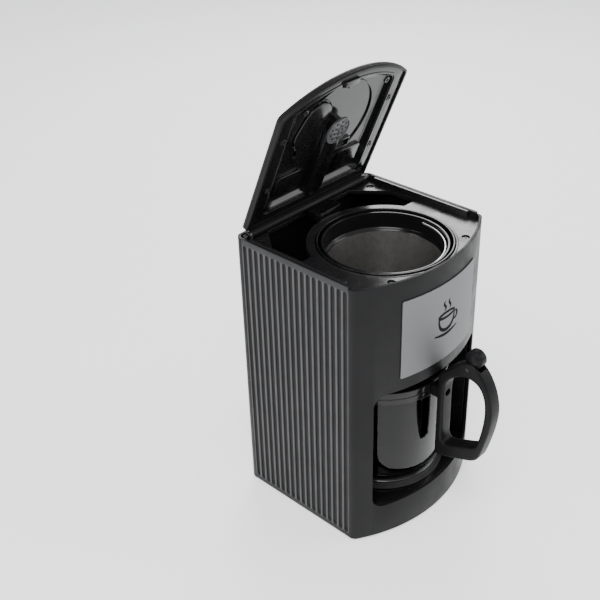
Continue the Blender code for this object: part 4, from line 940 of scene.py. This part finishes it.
def badge():
    """The steel plate on the bowed front with soft edges."""
    spread = 51.0
    outer = [on_bow(-spread + 2 * spread * i / 72, 0, 1.1)[:2] for i in range(73)]
    inner = [on_bow(-spread + 2 * spread * i / 72, 0, 0.3)[:2] for i in range(73)]
    bottom, top = BADGE_Z
    mesh = plate_mesh("badge_sheet", [outer + inner[::-1]], bottom - 2, top + 2, 'Z', THIN, 0)
    edge = rounded_rect(0, (bottom + top) / 2, spread, (top - bottom) / 2, 2.5)
    trim = plate_mesh("trim", [edge], FRONT_Y - 10, BREW_Y - 40, 'Y', THIN, 0)
    finish_piece("badge_sheet", combined(mesh, [(trim, 'INTERSECT')]), "steel_badge", 40.0)


def stroke(work, points, half_widths):
    """A ribbon of ink that lies just above the badge and follows its bow."""
    rows = []
    for i, (u, z) in enumerate(points):
        before = Vector(points[max(i - 1, 0)])
        after = Vector(points[min(i + 1, len(points) - 1)])
        along = (after - before).normalized()
        swell = math.sin(math.pi * i / (len(points) - 1))
        half = PEN * (half_widths[0] + (half_widths[1] - half_widths[0]) * swell)
        row = []
        for side in (1, -1):
            su, sz = u - along.y * half * side, z + along.x * half * side
            for depth in (1.0, 1.18):
                row.append(work.verts.new([v * MM for v in on_bow(su, sz, depth)]))
        rows.append(row)
    for a, b in zip(rows, rows[1:]):
        for p, q in ((0, 1), (1, 3), (3, 2), (2, 0)):
            work.faces.new((a[p], a[q], b[q], b[p]))
    for row in (rows[0], rows[-1]):
        work.faces.new((row[0], row[1], row[3], row[2]))


def pictogram():
    """A plain cup on a saucer with two wisps of steam, drawn with straight and round strokes."""
    work = bmesh.new()
    cu, cz = 2.0, 217.0
    ellipse = [(cu + 11 * math.cos(t * math.pi / 24), cz + 9 + 2.6 * math.sin(t * math.pi / 24))
               for t in range(49)]
    stroke(work, ellipse, (0.5, 0.7))
    bowl = [(cu - 11 * math.cos(t * math.pi / 24), cz + 8.4 - 15.0 * math.sin(t * math.pi / 24) ** 0.7)
            for t in range(25)]
    stroke(work, bowl, (0.45, 0.9))
    ear = arc(cu + 11.5, cz + 3.2, 4.2, 75, -100, 20)
    stroke(work, ear, (0.4, 0.7))
    saucer = [(cu - 16 + 32 * t / 24, cz - 8.6 - 2.4 * math.sin(math.pi * t / 24)) for t in range(25)]
    stroke(work, saucer, (0.3, 0.8))
    for shift in (-3.6, 3.2):
        wisp = [(cu + shift + 1.3 * math.sin(t * math.pi / 8), cz + 14 + 10.0 * t / 16)
                for t in range(17)]
        stroke(work, wisp, (0.25, 0.6))
    finish_piece("cup_print", closed_mesh("cup_print", work), "steel_badge", 40.0, INK_LOOK, False)


# ---- carafe bay and tank
BAY_R = 66.0
BAY_T = 2.0


def bay_path(radius, front_half_w, front_y):
    """The carafe bay's wall from its left front, round the back, to its right front."""
    distance = math.hypot(front_half_w, front_y - BREW_Y)
    heading = math.degrees(math.atan2(front_y - BREW_Y, -front_half_w)) % 360
    tangent = heading - math.degrees(math.acos(radius / distance))
    curve = arc(0, BREW_Y, radius, tangent, 180 - tangent, 96)
    return [(-front_half_w, front_y)] + curve + [(front_half_w, front_y)]


def carafe_bay():
    """The bay's wall, floor and ceiling with an even curve."""
    outer = bay_path(BAY_R + BAY_T, 76.0, -30.8)
    wall = plate_mesh("bay_wall", [bay_path(BAY_R, 74.0, -30.8) + outer[::-1]], 35.8, 169.7,
                      'Z', 0.1, 1)
    finish_piece("bay_wall", wall, "bay_liner", 45.0)
    bow = bowed_front(HALF_W, FRONT_Y, BOW, CORNER_R, COVER_T + 0.3)
    edge = [(x, y) for x, y in bow if abs(x) < 75.5]
    outline = outer + edge[::-1]
    floor = plate_mesh("bay_base", [outline, circle(0, BREW_Y, 58, 128)], 33.0, 35.5, 'Z', 0.3, 2)
    finish_piece("bay_base", floor, "bay_floor", 45.0)
    roof = plate_mesh("bay_roof", [outline, circle(0, BREW_Y, 24, 96)], 170.0, 172.0, 'Z', 0.3, 2)
    finish_piece("bay_roof", roof, "bay_ceiling", 45.0)


def tank_plan(inset):
    side = HALF_W - 4.1 - inset
    front = 30.0 + inset
    rear = REAR_Y - COVER_T - 0.7 - inset
    radius = BAY_R + BAY_T + 0.6 + inset
    start = 180 - math.degrees(math.asin((front - BREW_Y) / radius))
    corner = 6.0 - inset
    left = arc(-side + corner, rear - corner, corner, 90, 180, 12)
    return (left + [(-side, front)] + arc(0, BREW_Y, radius, start, 180 - start, 80)
            + [(side, front)] + mirrored(left))


def water_tank():
    """The tank round the bay, with a rounded rim and its two ports."""
    mesh = plate_mesh("tank_body", [tank_plan(0)], 48.0, 270.5, 'Z', 0.4, 2)
    hollow = plate_mesh("room", [tank_plan(2.0)], 50.0, 275.5, 'Z', 0.5, 2)
    ports = cutter([circle(-16, 95, 5.2, 40), circle(16, 95, 5.4, 40)], 46, 52)
    finish_piece("tank_body", combined(mesh, [(hollow, 'DIFFERENCE'), ports]), "water_tank", 45.0)


# ---- switch, rear and small parts
def switch():
    """The rocker and its bezel with round corners."""
    low, high = span("switch_bezel")
    centre = ((low.y + high.y) / 2, (low.z + high.z) / 2)
    half = ((high.y - low.y) / 2, (high.z - low.z) / 2)
    mesh = plate_mesh("bezel", [rounded_rect(*centre, *half, 3), rounded_rect(*centre, 7.8, 12.4, 1)],
                      low.x, high.x, 'X', 0.5, 3)
    finish_piece("bezel", mesh, "switch_bezel")
    face = fillet([(4.4, -11.0), (1.7, 0), (4.4, 11.0), (-3.0, 10.6), (-4.0, 0), (-3.0, -10.6)],
                  1.4, True, 6)
    mesh = plate_mesh("rocker_cap", [face], -7.3, 7.3, 'Y', 0.6, 3)
    rock = joint("switch_rock")
    tilt = -math.radians(sum(rock["range_deg"])) / 2
    mesh.transform(Matrix.Translation(rock["pos_m"]) @ Matrix.Rotation(tilt, 4, 'Y'))
    finish_piece("rocker_cap", mesh, "rocker", 45.0)


def cord_gland():
    """The rubber bush with grooves round its collar."""
    mesh = spun_mesh("gland_bush", [
        (4.6, 8.2), (6.9, 8.2), (6.9, 6.4), (6.5, 6.2), (6.5, 5.6), (6.9, 5.4), (6.9, 2.2),
        (9.5, 2.2), (9.5, 0), (3.6, 0), (3.6, 7.2)], (60, REAR_Y - 8.4, 22), 64, 'Y', 0.3)
    finish_piece("gland_bush", mesh, "cord_gland", 45.0)


def rear_cover():
    """The rear cover with rounded air slots and the gland's hole."""
    low, high = span("rear_cover")
    outer_path = arc(HALF_W - CORNER_R, REAR_Y - CORNER_R, CORNER_R, 0, 90, 12)
    inner_path = arc(HALF_W - CORNER_R, REAR_Y - CORNER_R, CORNER_R - COVER_T, 0, 90, 12)
    outer = ([(HALF_W, low.y)] + outer_path + mirrored(outer_path)
             + [(-HALF_W, low.y)])
    inner = ([(HALF_W - COVER_T, low.y)] + inner_path + mirrored(inner_path)
             + [(-HALF_W + COVER_T, low.y)])
    mesh = plate_mesh("rear_shell", [outer + inner[::-1]], low.z, high.z, 'Z', 0.3, 2)
    loops = [capsule((-48 + 9 * i, 14), (-48 + 9 * i, 30), 1.6, 8) for i in range(9)]
    loops.append(circle(60, 22, 7.3, 48))
    slots = cutter(loops, REAR_Y - 6, REAR_Y + 2, 'Y')
    finish_piece("rear_shell", combined(mesh, [slots]), "rear_cover", 45.0)


def small_parts():
    """Feet and screws with rounded rims and cross recesses."""
    for node in SLOT_OF:
        low, high = span(node)
        x, y = (low.x + high.x) / 2, (low.y + high.y) / 2
        if node.startswith("rubber_foot"):
            mesh = spun_mesh(node + "_pad", [
                (0, 8.2), (5.0, 8.2), (5.0, 6.3), (4.0, 6.3), (4.0, 3.2), (9.0, 3.2), (9.0, 0.8),
                (8.2, 0), (6.2, 0), (5.6, 0.5), (0, 0.5)], (x, y, 0), 48, rounding=0.4)
            finish_piece(node + "_pad", mesh, node)
        elif node.startswith(("deck_screw", "base_screw")):
            up = node.startswith("deck")
            top = high.z if up else low.z
            sign = 1 if up else -1
            head_r = (high.x - low.x) / 2
            shank = 1.4 if up else 1.6
            length = (high.z - low.z) - 1.6
            profile = [(0, 0), (head_r * 0.7, 0), (head_r, -0.8), (head_r, -1.6), (shank, -1.6),
                       (shank, -0.6 - length), (0, -1.6 - length)]
            profile = [(r, top + sign * h) for r, h in profile]
            if not up:
                profile = profile[::-1]
            body = spun_mesh(node + "_turned", profile, (x, y, 0), 32, rounding=0.2)
            cuts = []
            for half_u, half_v in ((head_r * 0.55, 0.35), (0.35, head_r * 0.55)):
                z0, z1 = sorted((top - sign * 0.9, top + sign * 1))
                cuts.append(cutter([rounded_rect(x, y, half_u, half_v, 0.15, 3)], z0, z1))
            finish_piece(node + "_turned", combined(body, cuts), node, 40.0)


make_camera()
make_studio()
dress_cad()
fluted_panel("side_panel_left", -1)
fluted_panel("side_panel_right", 1)
for build in (front_cover, round_parts, lid_shell, lid_inner, shower_head, top_deck, filter_frame,
              filter_bail, valve_spring, carafe_handle, thumb_lever, carafe_lid, badge, pictogram,
              carafe_bay, water_tank, switch, cord_gland, rear_cover, small_parts):
    build()
